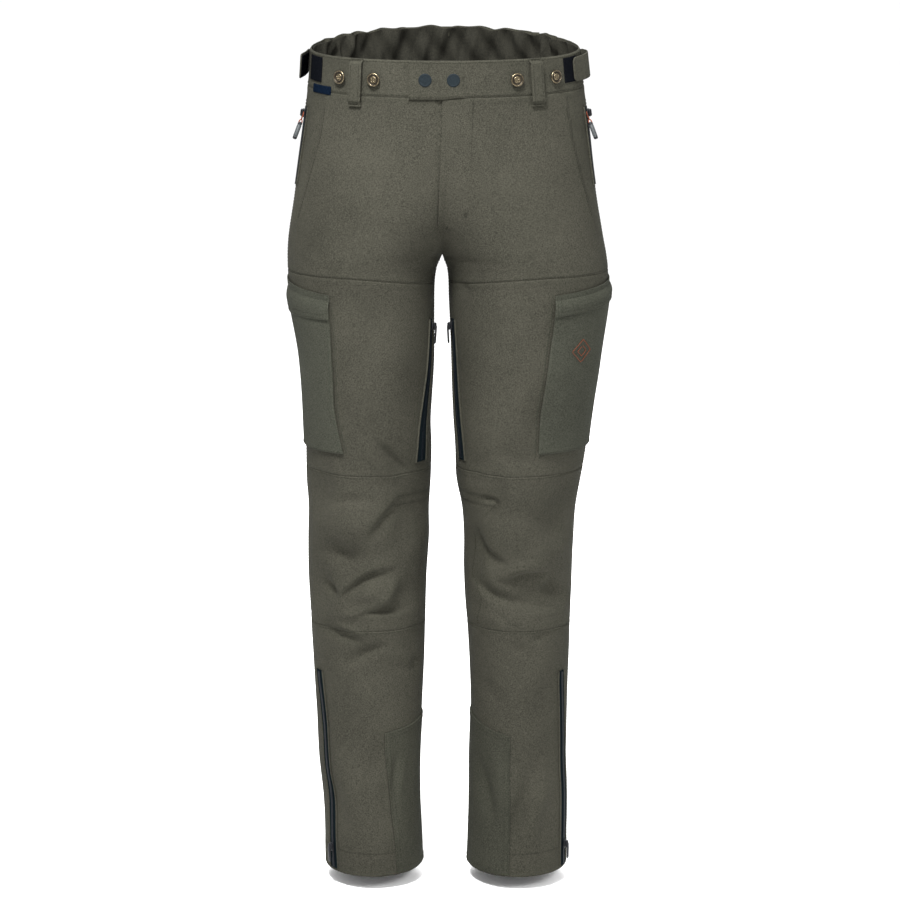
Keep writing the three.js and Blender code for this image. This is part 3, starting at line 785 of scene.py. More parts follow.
def leg_panels(side, hand):
    def hip_levels(t):
        return band_bottom(np.minimum(t, 180) - 90) - 0.2, yoke(t)

    def seat_levels(t):
        return band_bottom(np.maximum(t, 180) - 90) - 0.2, np.full_like(t, YOKE_Z + 9)

    panel(f"hip_front_panel_{hand}", side, front_angles, hip_levels, "hip",
          [f"hip_front_{hand}", f"groin_{hand}"], extra=front_extra, edges="tbrL")
    panel(f"seat_panel_{hand}", side, back_angles, seat_levels, "hip", [f"seat_{hand}"])
    panel(f"thigh_front_panel_{hand}", side, front_angles,
          lambda t: (yoke(t), np.full_like(t, KNEE_TOP_Z)), "hip", [f"thigh_front_{hand}"])
    panel(f"thigh_back_panel_{hand}", side, back_angles, level(YOKE_Z + 9, KNEE_TOP_Z), "hip",
          [f"thigh_back_{hand}"])
    knee = level(KNEE_TOP_Z, KNEE_BOTTOM_Z)
    panel(f"knee_front_panel_{hand}", side, front_angles, knee, "knee", [f"knee_{hand}"],
          slot="panel_fabric", extra=knee_extra, pitch=FINE)
    panel(f"knee_back_panel_{hand}", side, back_angles, knee, "knee", [], slot="panel_fabric", pitch=FINE)
    shin = level(KNEE_BOTTOM_Z, HEM_Z)
    panel(f"shin_front_panel_{hand}", side, front_angles, shin, f"shin_{hand}", [f"shin_front_{hand}"],
          edges="tlr", extra=hem_extra, pitch=FINE + 0.6)
    panel(f"shin_back_panel_{hand}", side, back_angles, shin, f"shin_{hand}", [f"shin_back_{hand}"],
          edges="tlr", extra=hem_extra)


def upright_row(t_of_z, top, bottom, zone, side, offset=0.0):
    z = np.arange(top - 3, bottom + 2, -5.0)
    t = turn_by(side, t_of_z(z), z, offset)
    sew(zone, side, t, z)


def level_row(z_of_t, low, high, zone, side):
    t = np.arange(low + 1.5, high - 1.0, 2.5)
    sew(zone, side, t, z_of_t(t))


def leg_stitches(side, hand):
    zones = (("hip", -62, KNEE_TOP_Z), ("knee", KNEE_TOP_Z, KNEE_BOTTOM_Z),
             (f"shin_{hand}", KNEE_BOTTOM_Z, HEM_Z))
    for zone, top, bottom in zones:
        upright_row(lambda z: np.full_like(z, 180.0), top, bottom, zone, side, -2.2)
        start = min(top, CROTCH_Z - 4)
        upright_row(lambda z: np.full_like(z, 0.4), start, bottom, zone, side, 2.4)
        upright_row(lambda z: np.full_like(z, 359.6), start, bottom, zone, side, -2.4)
    upright_row(lambda z: 360 - first_angle(z), -40, CROTCH_Z, "hip", side, -2.2)
    level_row(lambda t: yoke(t) + 2.2, 2, 178, "hip", side)
    level_row(lambda t: np.full_like(t, YOKE_Z + 11.2), 182, 358, "hip", side)
    level_row(lambda t: np.full_like(t, KNEE_TOP_Z - 2.2), 2, 358, "knee", side)
    level_row(lambda t: np.full_like(t, KNEE_BOTTOM_Z - 2.2), 2, 358, f"shin_{hand}", side)
    level_row(lambda t: np.full_like(t, HEM_STITCH_Z), 2, 358, f"shin_{hand}", side)
    z = np.arange(-72, -222, -5.0)
    sew("hip", side, angle_at(mouth_x(z) - 2.6, z), z, 1.6)
    z = np.arange(-628, KNEE_BOTTOM_Z, -4.0)
    x = np.interp(-z, *KNEE_GUSSET[side])
    sew("knee", side, angle_at(x, z), z)
    for level_z, first, last in KNEE_TUCKS:
        t = np.arange(first - 20, last, 2.5)
        sew("knee", side, t, np.full_like(t, level_z + 2.0))


def fly_stitches():
    z = np.concatenate([np.arange(-57, -196, -4.0), [-200, -206, -212, -217, -221, -224]])
    x = np.concatenate([np.linspace(35, 29.5, len(z) - 6), [28.6, 26, 21.5, 16, 9.5, 3.5]])
    sew("hip", 1, angle_at(x, z), z, 0.9)
    for offset in np.linspace(-1.6, 1.6, 4):           # bartacks: short dense rows
        for x0, z0, dx, dz in ((1.5, -219, 7, -3.5), (27.5, -198, -1.2, -9)):
            u = np.linspace(0, 1, 6)
            zz = z0 + dz * u + offset * abs(dx) / 8
            xx = x0 + dx * u + offset * abs(dz) / 9
            sew("hip", 1, angle_at(xx, zz), zz, 1.5)


# ---- patches: anything laid on the cloth ---------------------------------------------------------
def patch(name, side, corner, size, zone, nodes, material, slot, lift=ON_TOP, thick=1.2, extra=None,
          pitch=None, rows=(2.2,), sew_edges="tblr", swell=None):
    """corner(U, V) gives (t, z); size is (width, height) in millimetres; rows: stitch lines from the edge."""
    width, height = size
    pitch = pitch or FINE
    us, vs = spaced(width, pitch), spaced(height, pitch)

    def surface(U, V, above):
        t, z = corner(U, V)
        return on_cloth(side, t, z, above)

    def at(U, V, above):
        edge = from_edge(U, V, width, height)
        rounded = -0.5 * np.exp(-(edge / 0.7) ** 2)
        if above == lift:
            return surface(U, V, above + (swell(U, V) if swell else 0))[0]
        raised = 0
        if rows:
            allowance_end = smoothstep(rows[-1] + 2, rows[-1] + 4, edge)
            raised = 0.35 * smoothstep(0, 1, edge) * (1 - allowance_end)
        return surface(U, V, above + rounded + raised + (swell(U, V) if swell else 0))[0]

    obj = closed_sheet(name, at, us, vs, lift, lift + thick, material, flip=side > 0)
    cloth_piece(obj, zone, side, nodes, slot)
    for row in rows:
        du, dv = row / width, row / height
        lines = {"t": (np.linspace(du, 1 - du, 40), np.full(40, dv)),
                 "b": (np.linspace(du, 1 - du, 40), np.full(40, 1 - dv)),
                 "l": (np.full(40, du), np.linspace(dv, 1 - dv, 40)),
                 "r": (np.full(40, 1 - du), np.linspace(dv, 1 - dv, 40))}
        for edge in sew_edges:
            U, V = lines[edge]
            above = lift + thick + 0.35 + (swell(U, V) if swell else 0)
            sew_points(zone, side, *surface(U, V, above))
    return obj


# Front edge of the thigh pocket: level, angle. Level of the flap's lower edge at the front and the back.
CARGO_FRONT = {-1: ((-306, 114.5), (-345, 116), (-390, 119), (-450, 119), (-480, 115.5), (-514, 110.5)),
               1: ((-300, 108.5), (-340, 108), (-400, 106), (-460, 103), (-514, 103.5))}
CARGO_BACK_T = 194.0
CARGO_TOP_Z = -316.0
CARGO_BOTTOM_Z = -513.0
FLAP_TOP = (-306.0, -292.0)
FLAP_BOTTOM = {-1: (-337.0, -338.0), 1: (-333.0, -319.0)}
BELLOW = 3.0


def cargo_front(side, z):
    rows = CARGO_FRONT[side]
    return np.interp(-z, [-q[0] for q in rows], [q[1] for q in rows])


def cargo_swell(U, V):
    return BELLOW * np.sin(np.pi * lerp(0.08, 0.92, U)) * np.sin(np.pi * lerp(0.25, 0.95, V))


def cargo(side, hand):
    def pocket(U, V):
        z = lerp(CARGO_TOP_Z, CARGO_BOTTOM_Z, V)
        return lerp(cargo_front(side, z), CARGO_BACK_T, U), z

    def flap(U, V):
        z = lerp(lerp(*FLAP_TOP, U), lerp(*FLAP_BOTTOM[side], U), V)
        return lerp(cargo_front(side, z) - 0.6, CARGO_BACK_T + 1.5, U), z

    width = width_at(side, 110, CARGO_BACK_T, -400)
    patch(f"thigh_pocket_{hand}", side, pocket, (width, 197), f"thigh_{hand}", [f"cargo_pocket_{hand}"],
          POCKET, "panel_fabric", lift=1.9, thick=1.3, rows=(2.2,), swell=cargo_swell, sew_edges="tbr")
    gusset(side, hand, pocket)
    obj = patch_free(f"thigh_pocket_flap_{hand}", side, flap, (width + 6, 33), POCKET,
                     lambda U, V: 4.4 * smoothstep(0.12, 0.6, V))
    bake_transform(obj)
    cloth_piece(obj, None, side, [f"cargo_flap_{hand}"], "panel_fabric")


def gusset(side, hand, pocket):
    """The folded side of the bellows pocket, set back under its front edge, and the tuck beside it."""
    V = np.linspace(0.0, 1, 60)
    t, z = pocket(np.zeros(60), V)
    for name, distance, lift, radius in (("gusset", 0.9, 1.4, 0.9), ("tuck", -3.6, 0.1, 0.55)):
        place, _ = on_cloth(side, turn_by(side, t, z, distance), z, lift)
        tube(f"pocket_{name}_{hand}", place, radius, PANEL, f"thigh_{hand}")


def patch_free(name, side, corner, size, material, stand, lift=ON_TOP, thick=1.4, rows=(2.4, 7.0),
               pitch=None):
    """A flap: sewn along its top edge, standing off below, with its stitch rows in the same mesh."""
    width, height = size
    us = spaced(width, pitch or FINE) if width > 20 else np.linspace(0, 1, 8)
    vs = spaced(height, FINE)

    def surface(U, V, above):
        t, z = corner(U, V)
        return on_cloth(side, t, z, above + stand(U, V))

    def at(U, V, above):
        edge = np.minimum((U if not rows else np.minimum(U, 1 - U)) * width, (1 - V) * height)
        rounded = -0.5 * np.exp(-(edge / 0.7) ** 2) if above > lift else 0
        binding = -0.7 * np.exp(-((V * height - 7.5) / 1.2) ** 2) if above > lift and rows else 0
        return surface(U, V, above + rounded + binding)[0]

    obj = closed_sheet(name, at, us, vs, lift, lift + thick, material, flip=side > 0)
    paths = []
    for row in rows:
        du, dv = row / width, row / height
        down = np.linspace(0.06, 1 - dv, 20)
        lower_edge = (np.linspace(du, 1 - du, 50), np.full(50, 1 - dv))
        for U, V in (lower_edge, (np.full(20, du), down), (np.full(20, 1 - du), down)):
            paths.append(surface(U, V, lift + thick))
    return with_stitches(obj, paths) if paths else obj


def with_stitches(obj, paths):
    """Join a row of stitches into the piece they are sewn in."""
    points, faces = dashes(paths)
    thread = mesh_object(obj.name + "_thread", points, faces, THREAD)
    keep = {key: obj[key] for key in ("flat_width", "flat_length", "flat_area")}
    bpy.ops.object.select_all(action="DESELECT")
    for item in (thread, obj):
        item.select_set(True)
    bpy.context.view_layer.objects.active = obj
    bpy.ops.object.join()
    for key, value in keep.items():
        obj[key] = value
    return obj


def tube(name, path, radius, material, body, sides=8, closed=False):
    """A round strand along a path in millimetres."""
    path = np.asarray(path, float)
    way = np.gradient(path, axis=0)
    way /= np.linalg.norm(way, axis=1, keepdims=True)
    across = np.cross(way, (0.31, 0.52, 0.8))
    across /= np.linalg.norm(across, axis=1, keepdims=True)
    up = np.cross(way, across)
    a = np.linspace(0, 2 * math.pi, sides, endpoint=False)
    rings = path[:, None] + radius * (np.cos(a)[None, :, None] * across[:, None]
                                      + np.sin(a)[None, :, None] * up[:, None])
    count = len(path)
    faces = []
    for j in range(count if closed else count - 1):
        for k in range(sides):
            a0, a1 = j * sides + k, j * sides + (k + 1) % sides
            b0, b1 = (j + 1) % count * sides + k, (j + 1) % count * sides + (k + 1) % sides
            faces.append((a0, a1, b1, b0))
    points = list(rings.reshape(-1, 3))
    if not closed:
        faces.append(tuple(range(sides - 1, -1, -1)))
        faces.append(tuple(range((count - 1) * sides, count * sides)))
    obj = plain_mesh(name, points, faces, material)
    if body:
        attach(obj, body)
    return obj


# ---- small shapes, built round local Z = out of the cloth ----------------------------------------
def lathe(profile, sides=48):
    """profile: [radius, height] rows from the axis back to the axis."""
    points, faces, rings = [], [], []
    for radius, height in profile:
        if radius == 0:
            rings.append([len(points)])
            points.append((0, 0, height))
            continue
        rings.append(list(range(len(points), len(points) + sides)))
        for a in np.linspace(0, 2 * math.pi, sides, endpoint=False):
            points.append((radius * math.cos(a), radius * math.sin(a), height))
    for low, high in zip(rings, rings[1:]):
        for k in range(sides):
            a, b = low[k % len(low)], low[(k + 1) % len(low)]
            c, d = high[(k + 1) % len(high)], high[k % len(high)]
            faces.append([*dict.fromkeys((a, b, c, d))])
    return np.array(points, float), faces


CORNER_STEPS = 5


def rounded(width, height, corner, inset=0.0):
    w, h, r = width / 2 - inset, height / 2 - inset, max(corner - inset, 0.15)
    out = []
    for cx, cy, start in ((w - r, h - r, 0), (r - w, h - r, 90), (r - w, r - h, 180), (w - r, r - h, 270)):
        for a in np.radians(start + np.linspace(0, 90, CORNER_STEPS)):
            out.append((cx + r * math.cos(a), cy + r * math.sin(a)))
    return np.array(out)


def slab(width, height, thick, corner, bevel=0.4, shift=(0, 0, 0)):
    """A plate with rounded corners and softened edges, lying on local Z = 0."""
    rings = ((bevel, 0), (0, bevel), (0, thick - bevel), (bevel, thick))
    sides = 4 * CORNER_STEPS
    points = np.concatenate([np.column_stack([rounded(width, height, corner, inset), np.full(sides, z)])
                             for inset, z in rings])
    faces = [tuple(range(sides - 1, -1, -1)), tuple(range(3 * sides, 4 * sides))]
    for j in range(3):
        for k in range(sides):
            a, b = j * sides + k, j * sides + (k + 1) % sides
            faces.append((a, b, b + sides, a + sides))
    return points + np.array(shift, float), faces


def together(*shapes):
    points, faces = [], []
    for p, f in shapes:
        faces.extend([[i + len(points) for i in face] for face in f])
        points.extend(p)
    return np.array(points), faces


def seat_on(side, t, z, lift, along=(0, 0, 1)):
    """Origin and axes on the cloth: local Y lies along a given direction, local Z points out."""
    place, out = (v[0] for v in on_cloth(side, np.array([float(t)]), np.array([float(z)]), lift))
    y = np.array(along, float)
    y = y - out * y.dot(out)
    y /= np.linalg.norm(y)
    return place, np.stack([np.cross(y, out), y, out])


def hardware(name, shape, seat, material, body, slot, *nodes):
    points, faces = shape
    origin, axes = seat
    points = origin + points @ axes
    obj = plain_mesh(name, points, faces, material)
    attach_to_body(obj, body)
    if nodes:
        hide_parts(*nodes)
    return obj


# ---- waistband -----------------------------------------------------------------------------------
SIDE_TURN = 93
TAB_TURN = -15
SNAP_TURNS = (-8.2, 3.4)
BUTTON_TURNS = (-48.5, -30.5, 30.5, 51.5)
LOOP_TURNS = (-39.4, 40.4, -138, 180, 138)
LOOP_WIDTH = 17.0


def band_middle(turn):
    return band_top(turn) - BAND_HEIGHT / 2


def turn_step(distance, turn):
    """Degrees of turn in a distance round the waist."""
    ahead, behind = (on_waist(np.array([turn + step]), BAND_SAMPLE_Z)[0] for step in (1.0, -1.0))
    return distance * 2 / np.linalg.norm(ahead - behind)


def from_front(turn):
    """Degrees from the middle of the front, whichever way round."""
    return np.abs(np.where(turn > 180, 360 - turn, turn))


def seat_on_band(turn, drop, lift):
    """A seat `drop` below the middle of the waistband."""
    z = float(band_middle(np.array([turn]))[0]) - drop
    return seat_on(-1 if turn < 0 else 1, 90 + abs(turn), z, lift)


def band(name, first, last, zone, nodes, extra=None, lower=-CLOTH, upper=0.0, top=None, bottom=None,
         material=None, slot="shell_fabric", rows=(2.6,), pitch=None):
    """A length of waistband; extra(turn, z) lifts it, top(turn) and bottom(turn) move its edges."""
    middle = np.linspace(first, last, 200)
    line = on_waist(middle, np.full(200, BAND_SAMPLE_Z))[0]
    length = np.linalg.norm(np.diff(line, axis=0), axis=1).sum()
    us, vs = spaced(length, pitch or PITCH), spaced(BAND_HEIGHT, pitch or PITCH)
    extra = extra or (lambda turn, z: 0.0)

    def place(turn, V):
        signed = np.where(turn > 180, turn - 360, turn)
        high = band_top(signed) + (top(signed) if top else 0)
        low = band_bottom(signed) + (bottom(signed) if bottom else 0)
        return lerp(high, low, V)

    def at(U, V, lift):
        turn = lerp(first, last, U)
        z = place(turn, V)
        edge = from_edge(U, V, length, BAND_HEIGHT)
        skin = seam_profile(edge) if lift == upper else 0
        return on_waist(turn, z, lift + extra(turn, z) + skin)[0]

    obj = closed_sheet(name, at, us, vs, lower, upper, material or SHELL, flip=True)
    cloth_piece(obj, zone, 1, nodes, slot)
    for row in rows:
        turn = np.linspace(first, last, 160)
        for V in (row / BAND_HEIGHT, 1 - row / BAND_HEIGHT):
            z = place(turn, np.full_like(turn, V))
            sew_points(zone, 1, *on_waist(turn, z, upper + 0.5 + extra(turn, z)))
    return obj


def tab_lift(turn, z):
    return 3.4 * (1 - smoothstep(5, 14, turn))


def slack(turn):
    """How much the elastic back is gathered: nothing at the side seams."""
    return smoothstep(104, 128, from_front(turn))


def ruffle(turn, z):
    return 1.3 * gather(turn, z) * slack(turn)


def ruffled_top(turn):
    a = np.radians(turn)
    return slack(turn) * (2.2 * np.abs(np.sin(a * 9 + 0.4)) + 0.9 * np.sin(a * 31 + 1) - 0.4)


def inner_folds(turn, z):
    a = np.radians(turn)
    slant = z / 12
    deep = (np.sin(a * 17 + slant) + 0.8 * np.sin(a * 29 - 1.6 * slant + 1.3)
            + 0.4 * np.sin(a * 53 + 1.2 * slant))
    return ruffle(turn, z) + smoothstep(98, 118, from_front(turn)) * (3.0 * deep - 6.6)


def waistband():
    band("waistband_right", -SIDE_TURN, 5, "waist", ["waistband_front_right"])
    band("waistband_left_and_tab", TAB_TURN, SIDE_TURN, "tab", ["waistband_front_left", "closure_tab"],
         extra=tab_lift, bottom=lambda turn: -2.0 * (1 - smoothstep(-2, 6, turn)))
    turn = np.full(24, TAB_TURN + turn_step(2.6, 0))
    z = lerp(band_top(turn) - 2.6, band_bottom(turn) + 1, np.linspace(0, 1, 24))
    sew_points("tab", 1, *on_waist(turn, z, 2.4 + 0.5))
    band("waistband_back_cloth", SIDE_TURN, 360 - SIDE_TURN, "waist", ["waistband_back"], extra=ruffle,
         top=ruffled_top, rows=(3.0, 15.5), pitch=FINE)
    # The facing is shell cloth; its darker colour is painted shade inside the back of the band.
    band("waist_facing", SIDE_TURN, 360 - SIDE_TURN, "waist", ["waist_elastic"], extra=inner_folds,
         lower=-CLOTH - 2.4, upper=-CLOTH - 1.0, top=lambda turn: ruffled_top(turn) - 1.2, material=LINING_AND_PAINTED_SHADE,
         slot="lining", rows=(), pitch=FINE)


def belt_loops():
    for i, turn in enumerate(LOOP_TURNS, 1):
        half = turn_step(LOOP_WIDTH / 2, turn)
        middle = float(band_middle(np.array([turn]))[0])
        top, bottom = middle + 23, middle - 36.5
        length = top - bottom

        def stand(V):
            h = V * length
            free = smoothstep(2.5, 6.5, h) * smoothstep(2.0, 7.0, length - h)
            fold = np.exp(-(h / 1.6) ** 2) + np.exp(-((length - h) / 1.6) ** 2)
            return 1.0 + 4.0 * free + 0.7 * fold + ruffle(np.full_like(V, turn), middle)

        def at(U, V, lift, turn=turn, half=half, top=top, bottom=bottom, stand=stand):
            edge = np.minimum(U, 1 - U) * LOOP_WIDTH
            crown = 0.5 * smoothstep(0, 1.6, edge) if lift > 0 else 0
            return on_waist(turn + lerp(-half, half, U), lerp(top, bottom, V), lift + crown + stand(V))[0]

        obj = closed_sheet(f"loop_{i}", at, spaced(LOOP_WIDTH, 2.0), spaced(length, 2.0), 0.0, 1.3, SHELL,
                           flip=True)
        cloth_piece(obj, "waist", 1, [f"belt_loop_{i}"])
        upright = [(np.full(40, U), np.linspace(0.02, 0.98, 40)) for U in (0.17, 0.83)]
        bartacks = [(np.linspace(0.08, 0.92, 12), np.full(12, h / length))
                    for h in (1.6, 2.6, length - 2.8, length - 1.8)]
        for U, V in upright + bartacks:
            line = on_waist(turn + lerp(-half, half, U), lerp(top, bottom, V), 1.95 + stand(V))
            sew_points("waist", 1, *line)


SNAP_CAP = [(0, 0), (8.2, 0), (8.3, 0.5), (8.0, 1.1), (7.2, 1.5), (6.5, 1.45), (6.2, 1.3), (4, 1.5),
            (2, 1.6), (0, 1.65)]
STUD = [(0, 0), (4, 0), (3.2, 0.7), (2.6, 1.5), (2.6, 2.9), (7.9, 3.2), (8.5, 3.7), (8.5, 4.5), (8.1, 5.1),
        (7.5, 5.4), (6.9, 5.3), (6.5, 4.7), (6.2, 4.3), (5.4, 4.2), (4.7, 4.3), (4.4, 4.9), (3.9, 5.3),
        *((r, 5.35) for r in (3.4, 2.9, 2.5, 2.1, 1.7, 1.3, 0.9, 0.5, 0))]


def stud_shape():
    """A brace button with a ring-shaped recess and four round dents in its crown."""
    points, faces = lathe(STUD, 64)
    for a in np.radians((45, 135, 225, 315)):
        pit = np.hypot(points[:, 0] - 1.9 * math.cos(a), points[:, 1] - 1.9 * math.sin(a))
        points[:, 2] -= np.where(points[:, 2] > 5.3, 0.9, 0) * np.exp(-(pit / 0.62) ** 4)
    return points, faces


def buttons_and_snaps():
    cap = lathe(SNAP_CAP)
    for i, turn in enumerate(SNAP_TURNS, 1):
        hardware(f"snap_{i}", cap, seat_on_band(turn, 1, 3.0), SNAP, "closure_tab", "snap_metal",
                 f"snap_cap_{i}")
    points, faces = stud_shape()
    for i, turn in enumerate(BUTTON_TURNS, 1):
        obj = hardware(f"brace_stud_{i}", (points, faces), seat_on_band(turn, 2, 0.4), BRASS, "waist",
                       "brass", f"brace_button_{i}")
        obj.data.materials.append(BRASS_DARK)
        for k, face in enumerate(faces):
            middle = points[face].mean(0)
            in_recess = 4.5 < np.hypot(*middle[:2]) < 6.7 and middle[2] > 4
            obj.data.polygons[k].material_index = int(in_recess)


def band_patch(name, first, last, drop, height, lift, thick, material, body, slot, corner=0.0):
    """A flat piece on the waistband, from `drop` below its top; lift may follow the turn."""
    lift_at = lift if callable(lift) else (lambda turn: np.full_like(turn, lift))
    width = abs(last - first) / turn_step(1.0, (first + last) / 2)
    us, vs = spaced(width, 1.8), spaced(height, 1.8)

    def at(U, V, above):
        cut = np.clip(corner - np.minimum(U, 1 - U) * width, 0, None)
        squeeze = corner - np.sqrt(np.clip(corner ** 2 - cut ** 2, 0, None)) if corner else 0
        turn = lerp(first, last, U)
        z = band_top(turn) - drop - squeeze - V * (height - 2 * squeeze)
        edge = from_edge(U, V, width, height)
        soft = -0.4 * np.exp(-(edge / 0.6) ** 2) if above else 0
        return on_waist(turn, z, lift_at(turn) + above + soft)[0]

    obj = closed_sheet(name, at, us, vs, 0.0, thick, material, flip=last > first)
    return cloth_piece(obj, body, 1, [], slot)


def blend_strap(obj):
    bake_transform(obj)


def adjusters():
    """Hook pads on the band and a strap on each side: the left one closed, the right one hanging open."""
    for hand, first, last in (("left", 59, 73), ("right", -77, -63)):
        band_patch(f"hook_pad_{hand}", first, last, 4, 31, 0.6, 1.0, HOOK, "waist", "zip_tape")

    def closed(turn):
        return 2.2 + 6.4 * smoothstep(68, 90, turn) - 5.5 * smoothstep(92, 101, turn)

    def opened(turn):
        return 2.2 + 13.0 * (1 - smoothstep(74, 93, -turn)) + 1.5 * smoothstep(80, 92, -turn)

    for side, hand, first, last, proud in ((1, "left", 67, 101, closed), (-1, "right", -77, -101, opened)):
        strap = band_patch(f"adjuster_strap_{hand}", first, last, 5.5, 31, proud, 1.7, SHELL, None,
                           "shell_fabric", corner=7)
        blend_strap(strap)
        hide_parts(f"adjuster_tab_{hand}")
    pad = band_patch("strap_hook_right", -78.2, -95, 8, 26, lambda turn: opened(turn) - 1.2, 1.0, HOOK,
                     None, "zip_tape", corner=4)
    blend_strap(pad)


def waist_label():
    band_patch("plain_label", -71, -54.5, BAND_HEIGHT - 7.5, 10.5, 1.2, 0.5, LABEL, "waist", "zip_tape")


def hanger_loop():
    """A short tape inside the back of the band."""
    z = float(band_top(np.array([180.0]))[0]) - 9
    seat = seat_on(-1, 268, z, -CLOTH - 9)
    hardware("hanger_loop", slab(22, 7, 1.2, 1.2, 0.3), seat, SHELL, "waist", "shell_fabric")


# ---- zips ----------------------------------------------------------------------------------------
# Angle and level of the two ends, and the visible width of tape at them.
HAND_ZIP = {-1: ((169, -74, 11), (171, -174, 11)), 1: ((169, -74, 11), (171, -174, 11))}
VENT_ZIP = {-1: ((18, -346, 12), (33, -530, 24)), 1: ((17, -346, 18), (26, -530, 20))}
HEM_ZIP = {-1: ((151, -815, 17), (142, -1088, 17)), 1: ((147, -815, 14), (155, -1088, 19))}
TOOTH_PITCH = 1.5
TOOTH_HALF = (1.1, 0.45)           # across and along the zip
TOOTH_HEIGHT = 0.9
CORD_RADIUS = 0.75
SLIDER_LIFT = 3.6                  # keeps a slider's straight path clear of the tape


def zip_row(side, ends, share, across, lift):
    (t0, z0, w0), (t1, z1, w1) = ends
    z = lerp(z0, z1, share)
    t = turn_by(side, lerp(t0, t1, share), z, across * lerp(w0, w1, share))
    return on_cloth(side, t, z, lift)


def zipper(name, side, ends, body, node):
    """Tape and two rows of coil teeth, with a raised welt of the cloth on each side."""
    length = abs(ends[0][1] - ends[1][1])
    width = max(ends[0][2], ends[1][2])

    def tape(U, V, lift):
        return zip_row(side, ends, V, U - 0.5, lift)[0]

    obj = closed_sheet(name, tape, np.linspace(0, 1, 9), spaced(length, 4.0), 0.7, 1.4, TAPE, flip=side > 0)
    cloth_piece(obj, body, side, [node], "zip_tape")
    share = np.arange(2, length - 2, TOOTH_PITCH) / length
    shapes = []
    for hand, stagger in ((-1, 0), (1, 0.5)):
        place, out = zip_row(side, ends, share + stagger * TOOTH_PITCH / length, hand * 1.15 / width, 1.5)
        along_zip = np.gradient(place, axis=0)
        along_zip /= np.linalg.norm(along_zip, axis=1, keepdims=True)
        across = np.cross(along_zip, out)
        for p, y, o, x in zip(place, along_zip, out, across):
            corners = [p + sx * TOOTH_HALF[0] * x + sy * TOOTH_HALF[1] * y + h * o * TOOTH_HEIGHT
                       for h in (0, 1) for sx, sy in ((-1, -1), (1, -1), (1, 1), (-1, 1))]
            shapes.append((corners, [(3, 2, 1, 0), (4, 5, 6, 7), (0, 1, 5, 4), (1, 2, 6, 5), (2, 3, 7, 6),
                                     (3, 0, 4, 7)]))
    points, faces = together(*shapes)
    teeth = plain_mesh(f"{name}_teeth", points, faces, TEETH, smooth=False)
    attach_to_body(teeth, body)
    for hand in (-1, 1):
        def lip(U, V, lift, hand=hand):
            bulge = 0.9 * np.sin(np.pi * U) if lift > 0.6 else 0
            return zip_row(side, ends, V, hand * (0.42 + 0.12 * U), lift + bulge)[0]
        strip = closed_sheet(f"{name}_welt_{'outer' if hand > 0 else 'inner'}", lip, np.linspace(0, 1, 7),
                             spaced(length, 5.0), 0.3, 1.5, SHELL, flip=(side > 0) == (hand > 0))
        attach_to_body(strip, body)


def slider_shape(tab):
    """A zip slider: two plates, a bridge, and a pull tab that lies down along local -Y."""
    body = slab(8.4, 11, 1.3, 2.6, 0.35)
    top = slab(7.2, 10, 1.3, 2.4, 0.45, (0, 0, 2.4))
    post = slab(2.6, 8, 2.0, 1, 0.3, (0, 0, 1.0))
    bridge = slab(2.4, 8.5, 1.4, 1, 0.5, (0, 0, 3.6))
    if not tab:
        return together(body, post, top, bridge)
    plate = slab(5.4, tab, 1.3, 2.4, 0.4, (0, -tab / 2 + 1.5, 3.9))
    rim = slab(3.0, tab - 7, 1.7, 1.2, 0.3, (0, -tab / 2 + 0.5, 3.9))
    return together(body, post, top, bridge, plate, rim)


def hand_puller(side, hand):
    """A cord eye on the slider, and a swinging cord loop held by a moulded grip."""
    eye = np.array([side * 180.6, -23.5, -80.5])           # on the slider
    pivot = np.array([side * 183.6, -22.8, -90.2])         # the CAD hinge of the puller
    low = np.array([side * 191.5, -30.5, -111.5])          # the grip's lower end
    way = (low - pivot) / np.linalg.norm(low - pivot)
    out = np.array([side * 0.95, -0.25, 0.15])
    out -= way * out.dot(way)
    out /= np.linalg.norm(out)
    across = np.cross(way, out)
    drop = (pivot - eye) / np.linalg.norm(pivot - eye)

    def loop(start, along_it, sideways, half, wide):
        return np.array([start + along_it * half * (1 - math.cos(a)) + sideways * wide * math.sin(a)
                         for a in np.linspace(0, 2 * math.pi, 40, endpoint=False)])

    body = f"hand_zip_puller_{hand}"
    cords = (("slider_cord", f"hand_zip_slider_{hand}", loop(eye, drop, across, 4.6, 2.4)),
             ("puller_cord", body, loop(pivot, way, out, 4.4, 2.0)))
    for name, rides_on, line in cords:
        tube(f"{name}_{hand}", line, CORD_RADIUS, CORD, rides_on, sides=10, closed=True)
    axes = np.stack([across, -way, out])
    blocks = ((7.4, 17, -15.5), (6.4, 5, -6), (6.0, 5, -24.5))       # width, length, middle
    grip = together(*(slab(w, h, 5.0, 2.2, 1.0, (0, y, -2.5)) for w, h, y in blocks))
    obj = hardware(f"puller_grip_{hand}", grip, (pivot, axes), GRIP, body, "puller",
                   f"hand_zip_puller_{hand}")
    obj.data.materials.append(BLACK)
    for k, face in enumerate(grip[1]):
        y = grip[0][face].mean(0)[1]
        obj.data.polygons[k].material_index = int(y > -7.2 or y < -23.8)
    return obj


